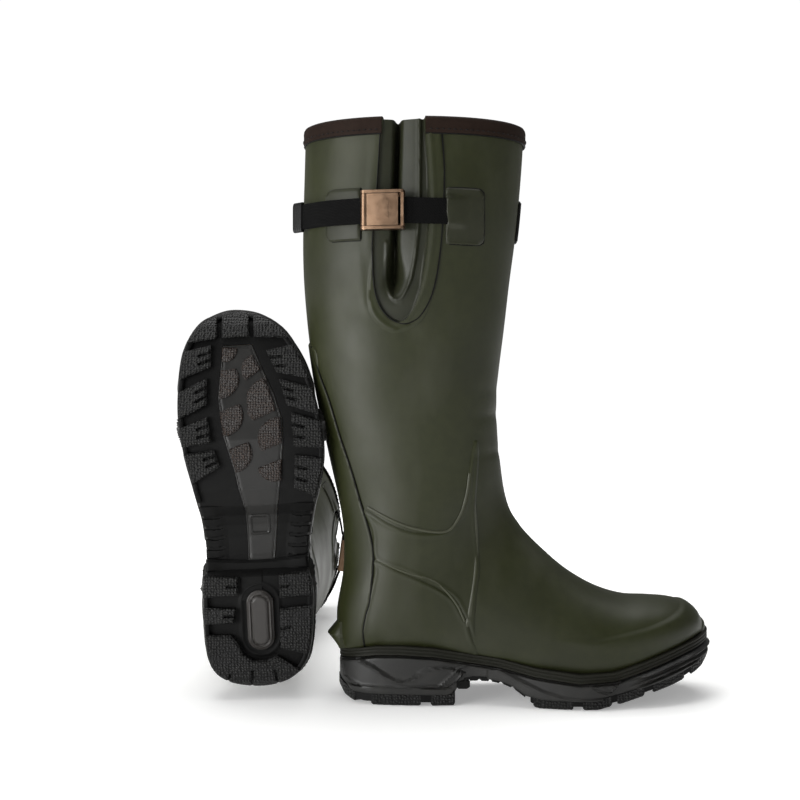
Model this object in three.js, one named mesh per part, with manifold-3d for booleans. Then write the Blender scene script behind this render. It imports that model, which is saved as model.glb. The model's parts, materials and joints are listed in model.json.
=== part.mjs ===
// A pair of insulated rubber hunting boots, EU 42: the right boot stands, the left boot lies on its back.
// Millimetres, +Z up. Each boot is drawn in its own frame: X runs from the heel to the toe, Z runs up the
// shaft, and the outer (lateral) side of the right boot faces -Y. The left boot is its mirror image.

import * as THREE from 'three';
import { mergeVertices } from 'three/addons/utils/BufferGeometryUtils.js';
import Module from 'manifold-3d';

const wasm = await Module();
wasm.setup();

// ---------------------------------------------------------------- driving dimensions

const GAP = 0.45;                 // clearance between neighbouring pieces
const BOOT_HEIGHT = 460;          // floor to the top of the binding
const SHELL_TOP = 458;            // top edge of the rubber shell and of its lining
const SHELL_WALL = 2.4;           // rubber shell
const LINING_WALL = 4.5;          // neoprene insulation
const OVERLAY_WALL = 1.2;         // rubber panels laid over the shell
const BINDING_DROP = 13.5;        // height of the binding on the outside
const BINDING_WALL = 1.2;
const SHELL_SIDES = 16;           // facets around the shell

const SLIT_BOTTOM = 301;          // lowest point of the calf slit
const GUSSET_DEPTH = 21;          // how far the bellows folds inwards
const GUSSET_WALL = 1.2;

const STRAP_WIDTH = 20;
const STRAP_WALL = 1.8;
const STRAP_Z = 386;              // centre height of the strap
const BUCKLE_X = 36.5;            // centre of the buckle along the boot
const BUCKLE_LENGTH = 34;
const BUCKLE_HEIGHT = 30;
const BUCKLE_DEPTH = 9.6;
const BUCKLE_TURN = 0.17;         // the buckle lies flat on the curve of the calf, radians
const FLANGE_WALL = 2.3;
const BASE_WALL = 1.2;
const PIN_RADIUS = 1.5;
const PIN_CLEARANCE = 0.35;
const BARREL_RADIUS = 3;
const LEVER_WALL = 1.6;

const CALF_CENTRE_X = 58.5;       // centre of the calf section at the strap
const CALF_HALF_LENGTH = 87.5;
const CALF_HALF_WIDTH = 58;

const WELT_HEIGHT = 7;            // foxing strip between the upper and the outsole
const HEEL_TREAD = 7;             // depth of the heel lugs
const FORE_TREAD = 6;             // depth of the forefoot lugs

const CALF_REACH = 29.5;          // the calf and the kick spur carry the lying boot
const CALF_CONTACT_Z = 370;
const SPUR_REACH = 10.2;
const SPUR_CONTACT_Z = 49;
const LYING_X = -62;              // centre line of the lying boot
const LYING_Y = -25;              // its heel tread faces the front
const LYING_YAW = 0.03;           // its shaft runs back and a little away from the standing boot, radians
const LYING_LEAN = -0.042;        // it leans away from the standing boot, radians

// Sections of the boot from the rim to the toe. Each one is a plane through a point on the back or
// bottom line and a point on the front or top line; the planes fan round the ankle.
// back x, back z, front x, front z, centre y, half width, place of the widest point, squareness
const SECTIONS = [
  [-26, 484, 150, 484, 0, 58, 0.50, 2.1],
  [-28, 440, 149.5, 440, 0, 58, 0.50, 2.1],
  [-29.5, 385, 145, 385, 0, 58, 0.50, 2.1],
  [-28.5, 325, 137.5, 325, 0, 55, 0.50, 2.1],
  [-21, 260, 130.5, 270, 0, 51, 0.50, 2.1],
  [-9, 200, 128, 238, 0, 47, 0.48, 2.1],
  [3, 145, 128.5, 210, 0, 44.5, 0.46, 2.1],
  [4.5, 105, 131, 188, 0, 43.5, 0.44, 2.15],
  [-1, 66, 134.5, 166, 0, 42, 0.40, 2.25],
  [4, 39, 139, 151, 0, 41.5, 0.36, 2.6],
  [24, 37.5, 145, 141, 0, 41, 0.34, 3.2],
  [58, 37.5, 152, 132, 0, 41, 0.33, 3.8],
  [94, 33.5, 164, 120, -1, 42, 0.34, 4],
  [127, 29, 184, 103, -2, 45, 0.36, 4],
  [158, 22.5, 207, 89.5, -3, 48.5, 0.38, 4],
  [190, 19, 230, 82, -2.5, 50.5, 0.40, 4],
  [216, 20.5, 251, 80.5, -1, 49.5, 0.42, 4],
  [238, 26.5, 268, 79, 1.5, 46.5, 0.44, 3.8],
  [257, 33.5, 281, 75.5, 4, 41.5, 0.45, 3.4],
  [273, 39, 290, 69, 6.5, 33.5, 0.46, 3],
  [286, 44, 295, 61, 8, 21.5, 0.47, 2.6],
];
const TOE_TIP = [296, 8.5, 51];
const DEEP = 4;                   // this far inside, the last section is too small to keep
const FRONT_SQUARENESS = 2.1;

// Top line of the welt, and the worn face of the tread, seen from the side.
const WELT_LINE = [
  [-6, 39], [0, 40], [12, 43], [30, 46], [50, 46.5], [76, 45], [106, 40], [128, 37], [154, 31],
  [189, 27], [216, 28.5], [238, 35], [261, 42.5], [280, 48.5], [300, 54], [308, 56],
];
const TREAD_LINE = [
  [-6, 16], [-0.5, 10], [5, 4], [12, 1.6], [20, 0], [92, 0], [95.5, 9], [98, 16.5], [118, 15.5],
  [135, 14.5], [141, 7], [148, 2], [158, 0], [202, 0], [222, 4.6], [247, 11.5], [263, 16],
  [275, 20], [291, 27], [300, 35], [308, 41],
];
// Floor of the grooves between the lugs.
const GROOVE_LINE = [
  [-6, 22], [2, HEEL_TREAD + 6], [12, HEEL_TREAD + 1], [24, HEEL_TREAD], [90, HEEL_TREAD], [97, 17.2],
  [118, 16.2], [136, 15.2], [146, FORE_TREAD + 3], [160, FORE_TREAD], [200, FORE_TREAD],
  [222, FORE_TREAD + 4.6], [247, FORE_TREAD + 11.5], [263, FORE_TREAD + 16], [275, FORE_TREAD + 20.5],
  [290, 33], [300, 40], [308, 45],
];
// Edge of the sole from above: first the outer side from heel to toe, then back along the inner side.
const SOLE_EDGE = [
  [0, 0], [4, -18], [15, -33], [35, -40.5], [73, -43.5], [107, -41.5], [138, -46.5], [168, -54.5],
  [194, -58], [225, -54], [254, -46], [273, -36.5], [287, -26], [298, -9], [301.5, 10], [299, 24],
  [291, 38], [274, 49], [254, 53.5], [225, 55.5], [194, 52.5], [168, 47], [138, 41.5], [107, 40],
  [73, 42], [35, 41.5], [15, 35.5], [4, 20],
];

// ---------------------------------------------------------------- solids

function toSolid(geometry) {
  const bare = geometry.clone();
  bare.deleteAttribute('normal');
  bare.deleteAttribute('uv');
  const merged = mergeVertices(bare, 1e-4);
  const vertProperties = new Float32Array(merged.attributes.position.array);
  const triVerts = new Uint32Array(merged.index.array);
  return new wasm.Manifold(new wasm.Mesh({ numProp: 3, vertProperties, triVerts }));
}

function toGeometry(solid) {
  const mesh = solid.getMesh();
  const geometry = new THREE.BufferGeometry();
  geometry.setAttribute('position', new THREE.BufferAttribute(new Float32Array(mesh.vertProperties), 3));
  geometry.setIndex(new THREE.BufferAttribute(new Uint32Array(mesh.triVerts), 1));
  geometry.computeVertexNormals();
  return geometry;
}

function box(x0, x1, y0, y1, z0, z1) {
  const geometry = new THREE.BoxGeometry(x1 - x0, y1 - y0, z1 - z0);
  geometry.translate((x0 + x1) / 2, (y0 + y1) / 2, (z0 + z1) / 2);
  return toSolid(geometry);
}

function toShape(points) {
  return new THREE.Shape(points.map(([a, b]) => new THREE.Vector2(a, b)));
}

// A side outline, x and z, carried across the boot from y0 to y1.
function sidePrism(points, y0, y1) {
  const geometry = new THREE.ExtrudeGeometry(toShape(points), { depth: y1 - y0, bevelEnabled: false });
  geometry.rotateX(Math.PI / 2);
  geometry.translate(0, y1, 0);
  return toSolid(geometry);
}

// An outline seen from above, x and y, carried up from z0 to z1.
function planPrism(points, z0, z1) {
  const geometry = new THREE.ExtrudeGeometry(toShape(points), { depth: z1 - z0, bevelEnabled: false });
  geometry.translate(0, 0, z0);
  return toSolid(geometry);
}

function smoothLine(points, count) {
  const curve = new THREE.SplineCurve(points.map(([a, b]) => new THREE.Vector2(a, b)));
  return curve.getPoints(count).map((p) => [p.x, p.y]);
}

function smoothLoop(points, count) {
  const curve = new THREE.CatmullRomCurve3(points.map(([a, b]) => new THREE.Vector3(a, b, 0)), true);
  return curve.getPoints(count).slice(0, count).map((p) => [p.x, p.y]);
}

function raise(line, lift) {
  return line.map(([x, z]) => [x, z + lift]);
}

// The part of the boot's side view between two lines that run from heel to toe.
function between(lower, upper) {
  return [...lower, ...[...upper].reverse()];
}

function roundedBlock(x0, x1, z0, z1, radius) {
  const shape = [];
  const corners = [[x1 - radius, z0 + radius, -90], [x1 - radius, z1 - radius, 0],
    [x0 + radius, z1 - radius, 90], [x0 + radius, z0 + radius, 180]];
  for (const [cx, cz, start] of corners) {
    for (const step of [0, 30, 60, 90]) {
      const angle = THREE.MathUtils.degToRad(start + step);
      shape.push([cx + radius * Math.cos(angle), cz + radius * Math.sin(angle)]);
    }
  }
  return shape;
}

// ---------------------------------------------------------------- the last: the boot's own surface

function pointOn(section, turn, grow) {
  const [backX, backZ, frontX, frontZ, centreY, halfWidth, widest, backSquareness] = section;
  const length = Math.hypot(frontX - backX, frontZ - backZ);
  const dirX = (frontX - backX) / length;
  const dirZ = (frontZ - backZ) / length;
  const c = Math.cos(turn);
  const s = Math.sin(turn);
  const power = 2 / (c < 0 ? backSquareness : FRONT_SQUARENESS);
  const reach = (c < 0 ? length * widest : length * (1 - widest)) + grow;
  const along = length * widest + Math.sign(c) * reach * Math.abs(c) ** power;
  const across = (halfWidth + grow) * Math.sign(s) * Math.abs(s) ** power;
  return [backX + dirX * along, centreY + across, backZ + dirZ * along];
}

// The solid inside the boot's surface moved outwards by grow, closed flat above the rim.
function last(grow, sides) {
  const sections = grow < -DEEP ? SECTIONS.slice(0, -1) : SECTIONS;
  const rings = sections.map((section) => {
    const ring = [];
    for (let side = 0; side < sides; side += 1) ring.push(pointOn(section, (2 * Math.PI * side) / sides, grow));
    return ring;
  });
  const tip = [TOE_TIP[0] + grow, TOE_TIP[1], TOE_TIP[2]];
  const first = SECTIONS[0];
  const lid = [(first[0] + first[2]) / 2, 0, first[1]];
  const positions = [...rings.flat(), tip, lid].flat();
  const tipIndex = rings.length * sides;
  const faces = [];
  for (let ring = 0; ring < rings.length - 1; ring += 1) {
    for (let side = 0; side < sides; side += 1) {
      const a = ring * sides + side;
      const b = ring * sides + (side + 1) % sides;
      faces.push(a, a + sides, b, b, a + sides, b + sides);
    }
  }
  const lastRing = (rings.length - 1) * sides;
  for (let side = 0; side < sides; side += 1) {
    const next = (side + 1) % sides;
    faces.push(lastRing + side, tipIndex, lastRing + next);
    faces.push(side, next, tipIndex + 1);
  }
  const geometry = new THREE.BufferGeometry();
  geometry.setAttribute('position', new THREE.Float32BufferAttribute(positions, 3));
  geometry.setIndex(faces);
  return toSolid(geometry);
}

const FAR = 200;
const belowShellTop = box(-FAR, 2 * FAR, -FAR, FAR, -FAR, SHELL_TOP);
const soleRegion = sidePrism(between([[-FAR, -FAR], [2 * FAR, -FAR]],
  [[-FAR, 39], ...raise(WELT_LINE, GAP), [2 * FAR, 56]]), -FAR, FAR);
const upperBody = last(0, SHELL_SIDES);
const overlayBand = last(GAP + OVERLAY_WALL, SHELL_SIDES).subtract(last(GAP, SHELL_SIDES));

// A thin panel on the surface, inside a side outline, on one or both sides of the boot.
function overlay(outline, y0, y1) {
  return overlayBand.intersect(sidePrism(outline, y0, y1)).subtract(soleRegion);
}

// ---------------------------------------------------------------- calf slit, bellows and trim

const SLIT_REAR = [[36, 470], [36, 458], [31, 404], [28.5, 365], [29.7, 328], [33.6, 312.5], [41.4, 303.5]];
const SLIT_FRONT = [[50, SLIT_BOTTOM], [57, 307], [65.6, 328], [71.8, 376], [71, 420], [68, 458], [68, 470]];
const slitOutline = [...SLIT_REAR, ...SLIT_FRONT];
const slitCut = sidePrism(slitOutline, -FAR, -20);

// Where the slit's edge lies at a height.
function edgeAt(edge, z) {
  const points = [...edge].sort((p, q) => p[1] - q[1]);
  const above = points.findIndex((p) => p[1] >= z);
  if (above <= 0) return points[Math.max(above, 0)][0];
  const [x0, z0] = points[above - 1];
  const [x1, z1] = points[above];
  return x0 + ((x1 - x0) * (z - z0)) / (z1 - z0);
}

// Height of a unit oval, as square as the shaft's sections, at a distance from its middle.
function ovalHeight(u) {
  return (1 - Math.abs(u) ** FRONT_SQUARENESS) ** (1 / FRONT_SQUARENESS);
}

// The calf's outer surface at the slit, an oval that narrows a little towards the ankle.
function calfY(x, z) {
  const taper = THREE.MathUtils.clamp((STRAP_Z - z) / 60, 0, 1.5);
  const centre = CALF_CENTRE_X - 4 * taper;
  const halfLength = CALF_HALF_LENGTH - 4.3 * taper;
  const halfWidth = CALF_HALF_WIDTH - 3 * taper;
  return -halfWidth * ovalHeight((x - centre) / halfLength);
}

function makeGusset() {
  const levels = [457.5, 425, 395, 365, 340, 325, 314, 307.5];
  const folds = [-1, -0.72, -0.36, 0, 0.36, 0.72, 1];
  const outer = [];
  const inner = [];
  for (const z of levels) {
    const rear = edgeAt([...SLIT_REAR, [50, SLIT_BOTTOM]], z) + 1.2;
    const front = edgeAt(SLIT_FRONT, z) - 1.2;
    const fade = Math.min(1, (z - SLIT_BOTTOM) / 60);
    for (const fold of folds) {
      const x = (rear + front) / 2 + (fold * (front - rear)) / 2;
      const depth = 1.2 + GUSSET_DEPTH * fade * (1 - Math.abs(fold)) ** 0.8;
      const y = calfY(x, z) + depth;
      outer.push([x, y, z]);
      inner.push([x, y + GUSSET_WALL * 1.4, z]);
    }
  }
  const wide = folds.length;
  const count = outer.length;
  const faces = [];
  for (let level = 0; level < levels.length - 1; level += 1) {
    for (let fold = 0; fold < wide - 1; fold += 1) {
      const a = level * wide + fold;
      faces.push(a, a + wide, a + 1, a + 1, a + wide, a + wide + 1);
      faces.push(count + a, count + a + 1, count + a + wide, count + a + 1, count + a + wide + 1, count + a + wide);
    }
  }
  const rim = [];
  for (let fold = 0; fold < wide; fold += 1) rim.push(fold);
  for (let level = 1; level < levels.length; level += 1) rim.push(level * wide + wide - 1);
  for (let fold = wide - 2; fold >= 0; fold -= 1) rim.push((levels.length - 1) * wide + fold);
  for (let level = levels.length - 2; level > 0; level -= 1) rim.push(level * wide);
  rim.forEach((here, index) => {
    const next = rim[(index + 1) % rim.length];
    faces.push(here, next, count + next, here, count + next, count + here);
  });
  const geometry = new THREE.BufferGeometry();
  geometry.setAttribute('position', new THREE.Float32BufferAttribute([...outer, ...inner].flat(), 3));
  geometry.setIndex(faces);
  return toSolid(geometry);
}

function makeGussetTrim() {
  const seam = [
    [81, 445.5], [84, 411], [81.8, 367], [77, 333], [69, 306], [58, 295.5], [47.6, 292], [38, 294],
    [28, 303], [22.5, 316], [22, 340], [25.5, 362],
  ];
  return overlay([...seam, [29, 362], [45, 330], [60, 380], [68, 445.5]], -FAR, -20)
    .subtract(slitCut);
}

// ---------------------------------------------------------------- upper

function makeShell() {
  return upperBody.subtract(last(-SHELL_WALL, SHELL_SIDES)).intersect(belowShellTop).subtract(slitCut);
}

const liningOuter = -SHELL_WALL - GAP;
const liningInner = liningOuter - LINING_WALL;

function makeLining() {
  return last(liningOuter, SHELL_SIDES).subtract(last(liningInner, SHELL_SIDES))
    .intersect(belowShellTop).subtract(slitCut);
}

function makeBinding() {
  const low = BOOT_HEIGHT - BINDING_DROP;
  const inside = last(liningInner - GAP - BINDING_WALL, SHELL_SIDES);
  const outside = last(GAP + BINDING_WALL, SHELL_SIDES).subtract(inside);
  const held = last(GAP, SHELL_SIDES).subtract(last(liningInner - GAP, SHELL_SIDES))
    .intersect(box(-FAR, 2 * FAR, -FAR, FAR, 0, SHELL_TOP + GAP));
  return outside.intersect(box(-FAR, 2 * FAR, -FAR, FAR, low, BOOT_HEIGHT)).subtract(held).subtract(slitCut);
}

const BACKSTAY_SEAM = [
  [-40, 286], [-22, 284], [-15, 262], [-6.8, 240], [2, 211], [10.6, 185.6], [18.5, 158.4], [25.6, 135.4],
  [28.4, 120], [28, 104], [25.6, 81], [22.8, 70.8], [20.4, 57.6], [21.5, 44], [22, 30],
];
const PANEL_TOP = [
  [20, 153.5], [40.5, 143], [57.6, 136.7], [74.5, 135.4], [86.3, 136.7], [94.2, 146.8], [100.5, 162],
  [103.5, 183], [107.7, 203],
];
const COUNTER_TOP = [
  [28.6, 114], [49.2, 105.7], [67.4, 97.8], [80, 91.5], [91.5, 83], [99, 69.4], [104, 60],
];
const INSTEP_RIDGE = [[112, 198], [109.2, 149.5], [112.4, 110], [110, 90], [108, 67], [108, 60]];

function shift(line, dx, dz) {
  return line.map(([x, z]) => [x + dx, z + dz]);
}

function makeBackstay() {
  return overlay([...BACKSTAY_SEAM, [-40, 30]], -FAR, FAR).subtract(spurRegion);
}

// The counters and ankle panels come in pairs, one on each side of the heel.
const OUTER_SIDE = [-FAR, -4];
const INNER_SIDE = [4, FAR];

function makeHeelCounter([y0, y1]) {
  const rear = shift(BACKSTAY_SEAM.slice(10).reverse(), 1, 0);
  return overlay([...rear, [29.4, 104], ...shift(COUNTER_TOP, 0.5, -0.6), [104, 30]], y0, y1);
}

function makeAnklePanel([y0, y1]) {
  const rear = [[29.4, 118], [26.7, 135.8]];
  return overlay([...rear, ...PANEL_TOP, ...INSTEP_RIDGE, [106, 60.6],
    ...shift([...COUNTER_TOP].reverse().slice(1), 0.8, 0.4)], y0, y1);
}

function makeToeRand() {
  const edge = smoothLine([[171, 50], [176, 55.5], [198, 54], [216, 57], [248, 64], [272, 73], [284, 84]], 10);
  return overlay([...edge, [310, 84], [310, 20], [171, 20]], -FAR, FAR);
}

const SPUR_HALF_WIDTH = 21;
const spurRegion = box(-30, 12, -SPUR_HALF_WIDTH - GAP, SPUR_HALF_WIDTH + GAP, 30, 62.5);

// The ledge behind the heel that the other boot pushes on.
function makeSpur() {
  const outline = [[-1, 62], [-SPUR_REACH, 51], [-SPUR_REACH, 48.5], [-6, 42], [2, 40.6], [12, 43.5], [12, 62]];
  const plan = [[12, -21], [-3, -20], [-8, -14], [-SPUR_REACH - 1, 0], [-8, 14], [-3, 20], [12, 21]];
  return sidePrism(outline, -SPUR_HALF_WIDTH, SPUR_HALF_WIDTH).intersect(planPrism(plan, 20, 80))
    .subtract(last(GAP, SHELL_SIDES)).subtract(soleRegion);
}

function makeFrontBadge() {
  return last(GAP + 2, SHELL_SIDES).subtract(last(GAP, SHELL_SIDES))
    .intersect(box(100, 200, -9, 9, 368, 402));
}

// ---------------------------------------------------------------- patches, strap and buckle

const FRONT_PATCH = [85, 115, 361, 404.5];
const REAR_PATCH = [-9, 18.6, 364, 405];
const PATCH_CORNER = 5;

function makePatch([x0, x1, z0, z1]) {
  return overlay(roundedBlock(x0, x1, z0, z1, PATCH_CORNER), -FAR, -10);
}

// A band of webbing seen from above: a line with a thickness.
function webbing(line, wall, width) {
  const sides = line.map(([x, y], index) => {
    const [x0, y0] = line[Math.max(index - 1, 0)];
    const [x1, y1] = line[Math.min(index + 1, line.length - 1)];
    const length = Math.hypot(x1 - x0, y1 - y0);
    const nx = ((y1 - y0) / length) * (wall / 2);
    const ny = (-(x1 - x0) / length) * (wall / 2);
    return [[x + nx, y + ny], [x - nx, y - ny]];
  });
  const outline = [...sides.map((pair) => pair[0]), ...sides.map((pair) => pair[1]).reverse()];
  return planPrism(outline, STRAP_Z - width / 2, STRAP_Z + width / 2);
}

// The calf's curve at the strap, held off the surface by a distance.
function calfCurve(x, off) {
  return [x, -(CALF_HALF_WIDTH + off) * ovalHeight((x - CALF_CENTRE_X) / (CALF_HALF_LENGTH + off))];
}

const buckleTurn = new THREE.Matrix4().makeRotationZ(-BUCKLE_TURN);
const [, buckleSurfaceY] = calfCurve(BUCKLE_X, 2.2);

// A point of the buckle's own frame (along, out from the boot) in the boot's frame, seen from above.
function buckleToBoot(along, out) {
  const p = new THREE.Vector3(along, -out, 0).applyMatrix4(buckleTurn);
  return [BUCKLE_X + p.x, buckleSurfaceY + p.y];
}

function placeBuckle(solid) {
  const geometry = toGeometry(solid);
  geometry.applyMatrix4(buckleTurn);
  geometry.translate(BUCKLE_X, buckleSurfaceY, STRAP_Z);
  return toSolid(geometry);
}

const strapLift = BASE_WALL + GAP + STRAP_WALL / 2;
const pinOut = BASE_WALL + GAP + STRAP_WALL + GAP + BARREL_RADIUS;
const pinAlong = -BUCKLE_LENGTH / 2 + BARREL_RADIUS + 0.4;

function pinCylinder(radius, length, sides) {
  const geometry = new THREE.CylinderGeometry(radius, radius, length, sides);
  geometry.rotateX(Math.PI / 2);
  geometry.translate(pinAlong, -pinOut, 0);
  return toSolid(geometry);
}

function makeBuckleFrame() {
  const halfLength = BUCKLE_LENGTH / 2;
  const halfHeight = BUCKLE_HEIGHT / 2;
  const channel = halfHeight - FLANGE_WALL;
  const tray = box(-halfLength, halfLength, -BUCKLE_DEPTH, 0, -halfHeight, halfHeight)
    .subtract(box(-halfLength - 1, halfLength + 1, -BUCKLE_DEPTH - 1, -BASE_WALL, -channel, channel));
  const bridge = box(halfLength - 2.6, halfLength, -BUCKLE_DEPTH + 1.8, -BASE_WALL - STRAP_WALL - 2 * GAP,
    -channel - 1, channel + 1);
  return placeBuckle(tray.add(bridge).subtract(pinCylinder(PIN_RADIUS + PIN_CLEARANCE, BUCKLE_HEIGHT + 4, 16)));
}

function makeBucklePin() {
  return placeBuckle(pinCylinder(PIN_RADIUS, BUCKLE_HEIGHT, 12));
}

function makeBuckleLever() {
  const height = BUCKLE_HEIGHT - 2 * FLANGE_WALL - 2 * GAP;
  const reach = BUCKLE_LENGTH - 4.2;
  const start = pinAlong;
  const end = -BUCKLE_LENGTH / 2 + reach;
  const out = pinOut + BARREL_RADIUS;
  const steps = [0, 0.25, 0.5, 0.75, 1];
  const bow = (u) => 0.9 * Math.sin(Math.PI * u);
  const top = steps.map((u) => [start + (end - start) * u, -(out + bow(u))]);
  const low = steps.map((u) => [start + (end - start) * u, -(out + bow(u) - LEVER_WALL)]).reverse();
  const plate = planPrism([...top, ...low], -height / 2, height / 2);
  return placeBuckle(plate.add(pinCylinder(BARREL_RADIUS, height, 16))
    .subtract(pinCylinder(PIN_RADIUS + PIN_CLEARANCE, height + 4, 16)));
}

function makeStrapFront() {
  const line = [
    buckleToBoot(-BUCKLE_LENGTH / 2, strapLift),
    buckleToBoot(BUCKLE_LENGTH / 2, strapLift),
    calfCurve(60, 4.4),
    calfCurve(67, 3.8),
    calfCurve(75, 3.4),
    calfCurve(FRONT_PATCH[0] - GAP, GAP + OVERLAY_WALL + GAP + STRAP_WALL / 2),
  ];
  return webbing(line, STRAP_WALL, STRAP_WIDTH);
}

function makeBuckleAnchor() {
  const line = [-7, -1, 6, 12, 17.6].map((x) => calfCurve(x, GAP + OVERLAY_WALL + GAP + 0.5));
  return webbing(line, 1, STRAP_WIDTH - 2);
}

const TAIL_LIFT = 4.6;
const tailRoot = buckleToBoot(-BUCKLE_LENGTH / 2 - 0.6, strapLift);

// The free end of the strap. On the standing boot it leaves the calf and points backwards; on the
// lying boot it stays close to the calf.
const TAIL_FREE = [tailRoot, ...[12, 5, -2, -9, -15].map((x) => calfCurve(x, TAIL_LIFT)), [-23, -31], [-30, -24]];
const TAIL_CLOSE = [tailRoot, ...[12, 5, -2, -9, -14].map((x) => calfCurve(x, TAIL_LIFT))];

function makeTip(line) {
  const [x0, y0] = line[line.length - 2];
  const [x1, y1] = line[line.length - 1];
  const length = Math.hypot(x1 - x0, y1 - y0);
  const [ux, uy] = [(x1 - x0) / length, (y1 - y0) / length];
  const [sx, sy] = [x1 + ux * GAP, y1 + uy * GAP];
  const half = 1.8;
  const reach = 9;
  const plan = [[0, -half], [reach - 1.5, -half], [reach, -half + 1.2], [reach, half - 1.2],
    [reach - 1.5, half], [0, half]];
  const outline = plan.map(([a, b]) => [sx + ux * a - uy * b, sy + uy * a + ux * b]);
  return planPrism(outline, STRAP_Z - STRAP_WIDTH / 2 - 2, STRAP_Z + STRAP_WIDTH / 2 + 2);
}

// ---------------------------------------------------------------- sole

const soleEdge = smoothLoop(SOLE_EDGE, 32);

// The sole's edge moved inwards by a distance.
function insetEdge(inset) {
  const count = soleEdge.length;
  return soleEdge.map(([x, y], index) => {
    const [x0, y0] = soleEdge[(index + count - 1) % count];
    const [x1, y1] = soleEdge[(index + 1) % count];
    const length = Math.hypot(x1 - x0, y1 - y0);
    return [x - ((y1 - y0) / length) * inset, y + ((x1 - x0) / length) * inset];
  });
}

const soleBlock = planPrism(soleEdge, -5, 80);
const boardPlan = planPrism(insetEdge(13), 0, 80);
const boardPocket = planPrism(insetEdge(12.4), 0, 80);
const SHANK = [62, 150, -8, 8];

// Side views of the tread: from the worn face up to just inside the sole.
const treadBand = sidePrism(between(TREAD_LINE, raise(GROOVE_LINE, 1)), -FAR, FAR);

// Lugs seen from below the left boot: x, then the distance to its outer side.
const LUGS = {
  inner_1: [[269.5, -60], [275.7, -28.7], [258.4, -29.3], [246, -62]],
  inner_2: [[236, -62], [249.7, -32.4], [228.5, -33.2], [214, -64]],
  inner_3: [[208, -62], [219.3, -32.5], [199, -30], [195, -60]],
  inner_4: [[190, -60], [193, -28.3], [179.5, -24.1], [160, -58]],
  outer_1: [[270, 15.1], [276, 50], [244, 58], [252, 23]],
  outer_2: [[247, 24.8], [236, 62], [214, 66], [226, 30.5]],
  outer_3: [[220, 33.5], [210, 66], [190, 66], [193, 35]],
  outer_4: [[186.5, 35.5], [182, 66], [148, 62], [160, 33.7]],
  toe_inner: [[310, -70], [310, -24], [281, -24.2], [276, -60]],
  toe_middle: [[310, -20], [310, 1], [281, 1.7], [281, -20]],
  toe_outer: [[310, 5], [310, 60], [279, 36], [281, 5.7]],
  heel_inner_front: [[93, -50], [90.5, -14], [76.3, -15], [75, -50]],
  heel_inner_rear: [[68, -50], [65.3, -17.2], [53.8, -19], [53.8, -50]],
  heel_outer_front: [[91, 18], [93, 50], [73.7, 50], [72.6, 18]],
  heel_outer_rear: [[64, 18], [66, 50], [38, 50], [26, 40], [32, 17]],
};
const REAR_LUG = [
  [46, -50], [44, -21.7], [38, -17], [28, -13], [22.8, -5], [22.8, 6], [26, 14], [14, 32], [5, 40], [-8, 40],
  [-8, -50],
];
const RIB_XS = [107, 119, 131, 143];
const RIB_HALF = 2.6;
const PAD_HALF = [8.5, 7];
const PAD_CENTRES = [
  [266, -15], [245, -17], [216, -15], [188, -8], [258, 3], [234, 11], [206, 17], [176, 18],
];
const CENTRE_INNER = [[275, -20], [234, -24.5], [205, -21.5], [177, -14], [161, -11], [143, -7], [100, -7]];
const CENTRE_OUTER = [[100, 15], [143, 19.5], [168, 23.5], [196, 26.5], [215, 26.5], [234, 21], [254, 12.5], [275, 4]];
const CAPSULE_CENTRE = [55, 2];
const CAPSULE_HALF_LENGTH = 24;
const CAPSULE_RADIUS = 10.5;

// The drawing shows the left boot from below; the right boot's plan has the outer side at -y.
function flip(points) {
  return points.map(([x, v]) => [x, -v]).reverse();
}

function capsuleOutline(grow) {
  const [cx, cy] = CAPSULE_CENTRE;
  const radius = CAPSULE_RADIUS + grow;
  const straight = CAPSULE_HALF_LENGTH - CAPSULE_RADIUS;
  const outline = [];
  for (const [end, start] of [[1, -90], [-1, 90]]) {
    for (let step = 0; step <= 6; step += 1) {
      const angle = THREE.MathUtils.degToRad(start + step * 30);
      outline.push([cx + end * straight + radius * Math.cos(angle), cy + radius * Math.sin(angle)]);
    }
  }
  return flip(outline);
}

const centrePlan = flip([...CENTRE_INNER, ...CENTRE_OUTER]);
const centreCut = sidePrism(between(raise(GROOVE_LINE, -4), raise(GROOVE_LINE, 1.6)), -FAR, FAR)
  .intersect(planPrism(centrePlan, -5, 80));

function makeOutsole() {
  const cup = between(GROOVE_LINE, raise(WELT_LINE, -WELT_HEIGHT - GAP));
  let sole = sidePrism(cup, -FAR, FAR);
  for (const lug of [...Object.values(LUGS), REAR_LUG]) {
    sole = sole.add(planPrism(flip(lug), -5, 80).intersect(treadBand));
  }
  for (const x of RIB_XS) {
    for (const [y0, y1] of [[-60, -22], [14, 60]]) {
      sole = sole.add(box(x - RIB_HALF, x + RIB_HALF, y0, y1, 11, 20));
    }
  }
  const capsuleHole = planPrism(capsuleOutline(GAP), -5, HEEL_TREAD + 2);
  const shankPocket = last(4.9, SHELL_SIDES)
    .intersect(box(SHANK[0] - GAP, SHANK[1] + GAP, SHANK[2] - GAP, SHANK[3] + GAP, 0, 80));
  return sole.intersect(soleBlock).subtract(last(GAP, SHELL_SIDES)).subtract(centreCut).subtract(capsuleHole)
    .subtract(last(2.9, SHELL_SIDES).intersect(boardPocket)).subtract(shankPocket);
}

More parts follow.
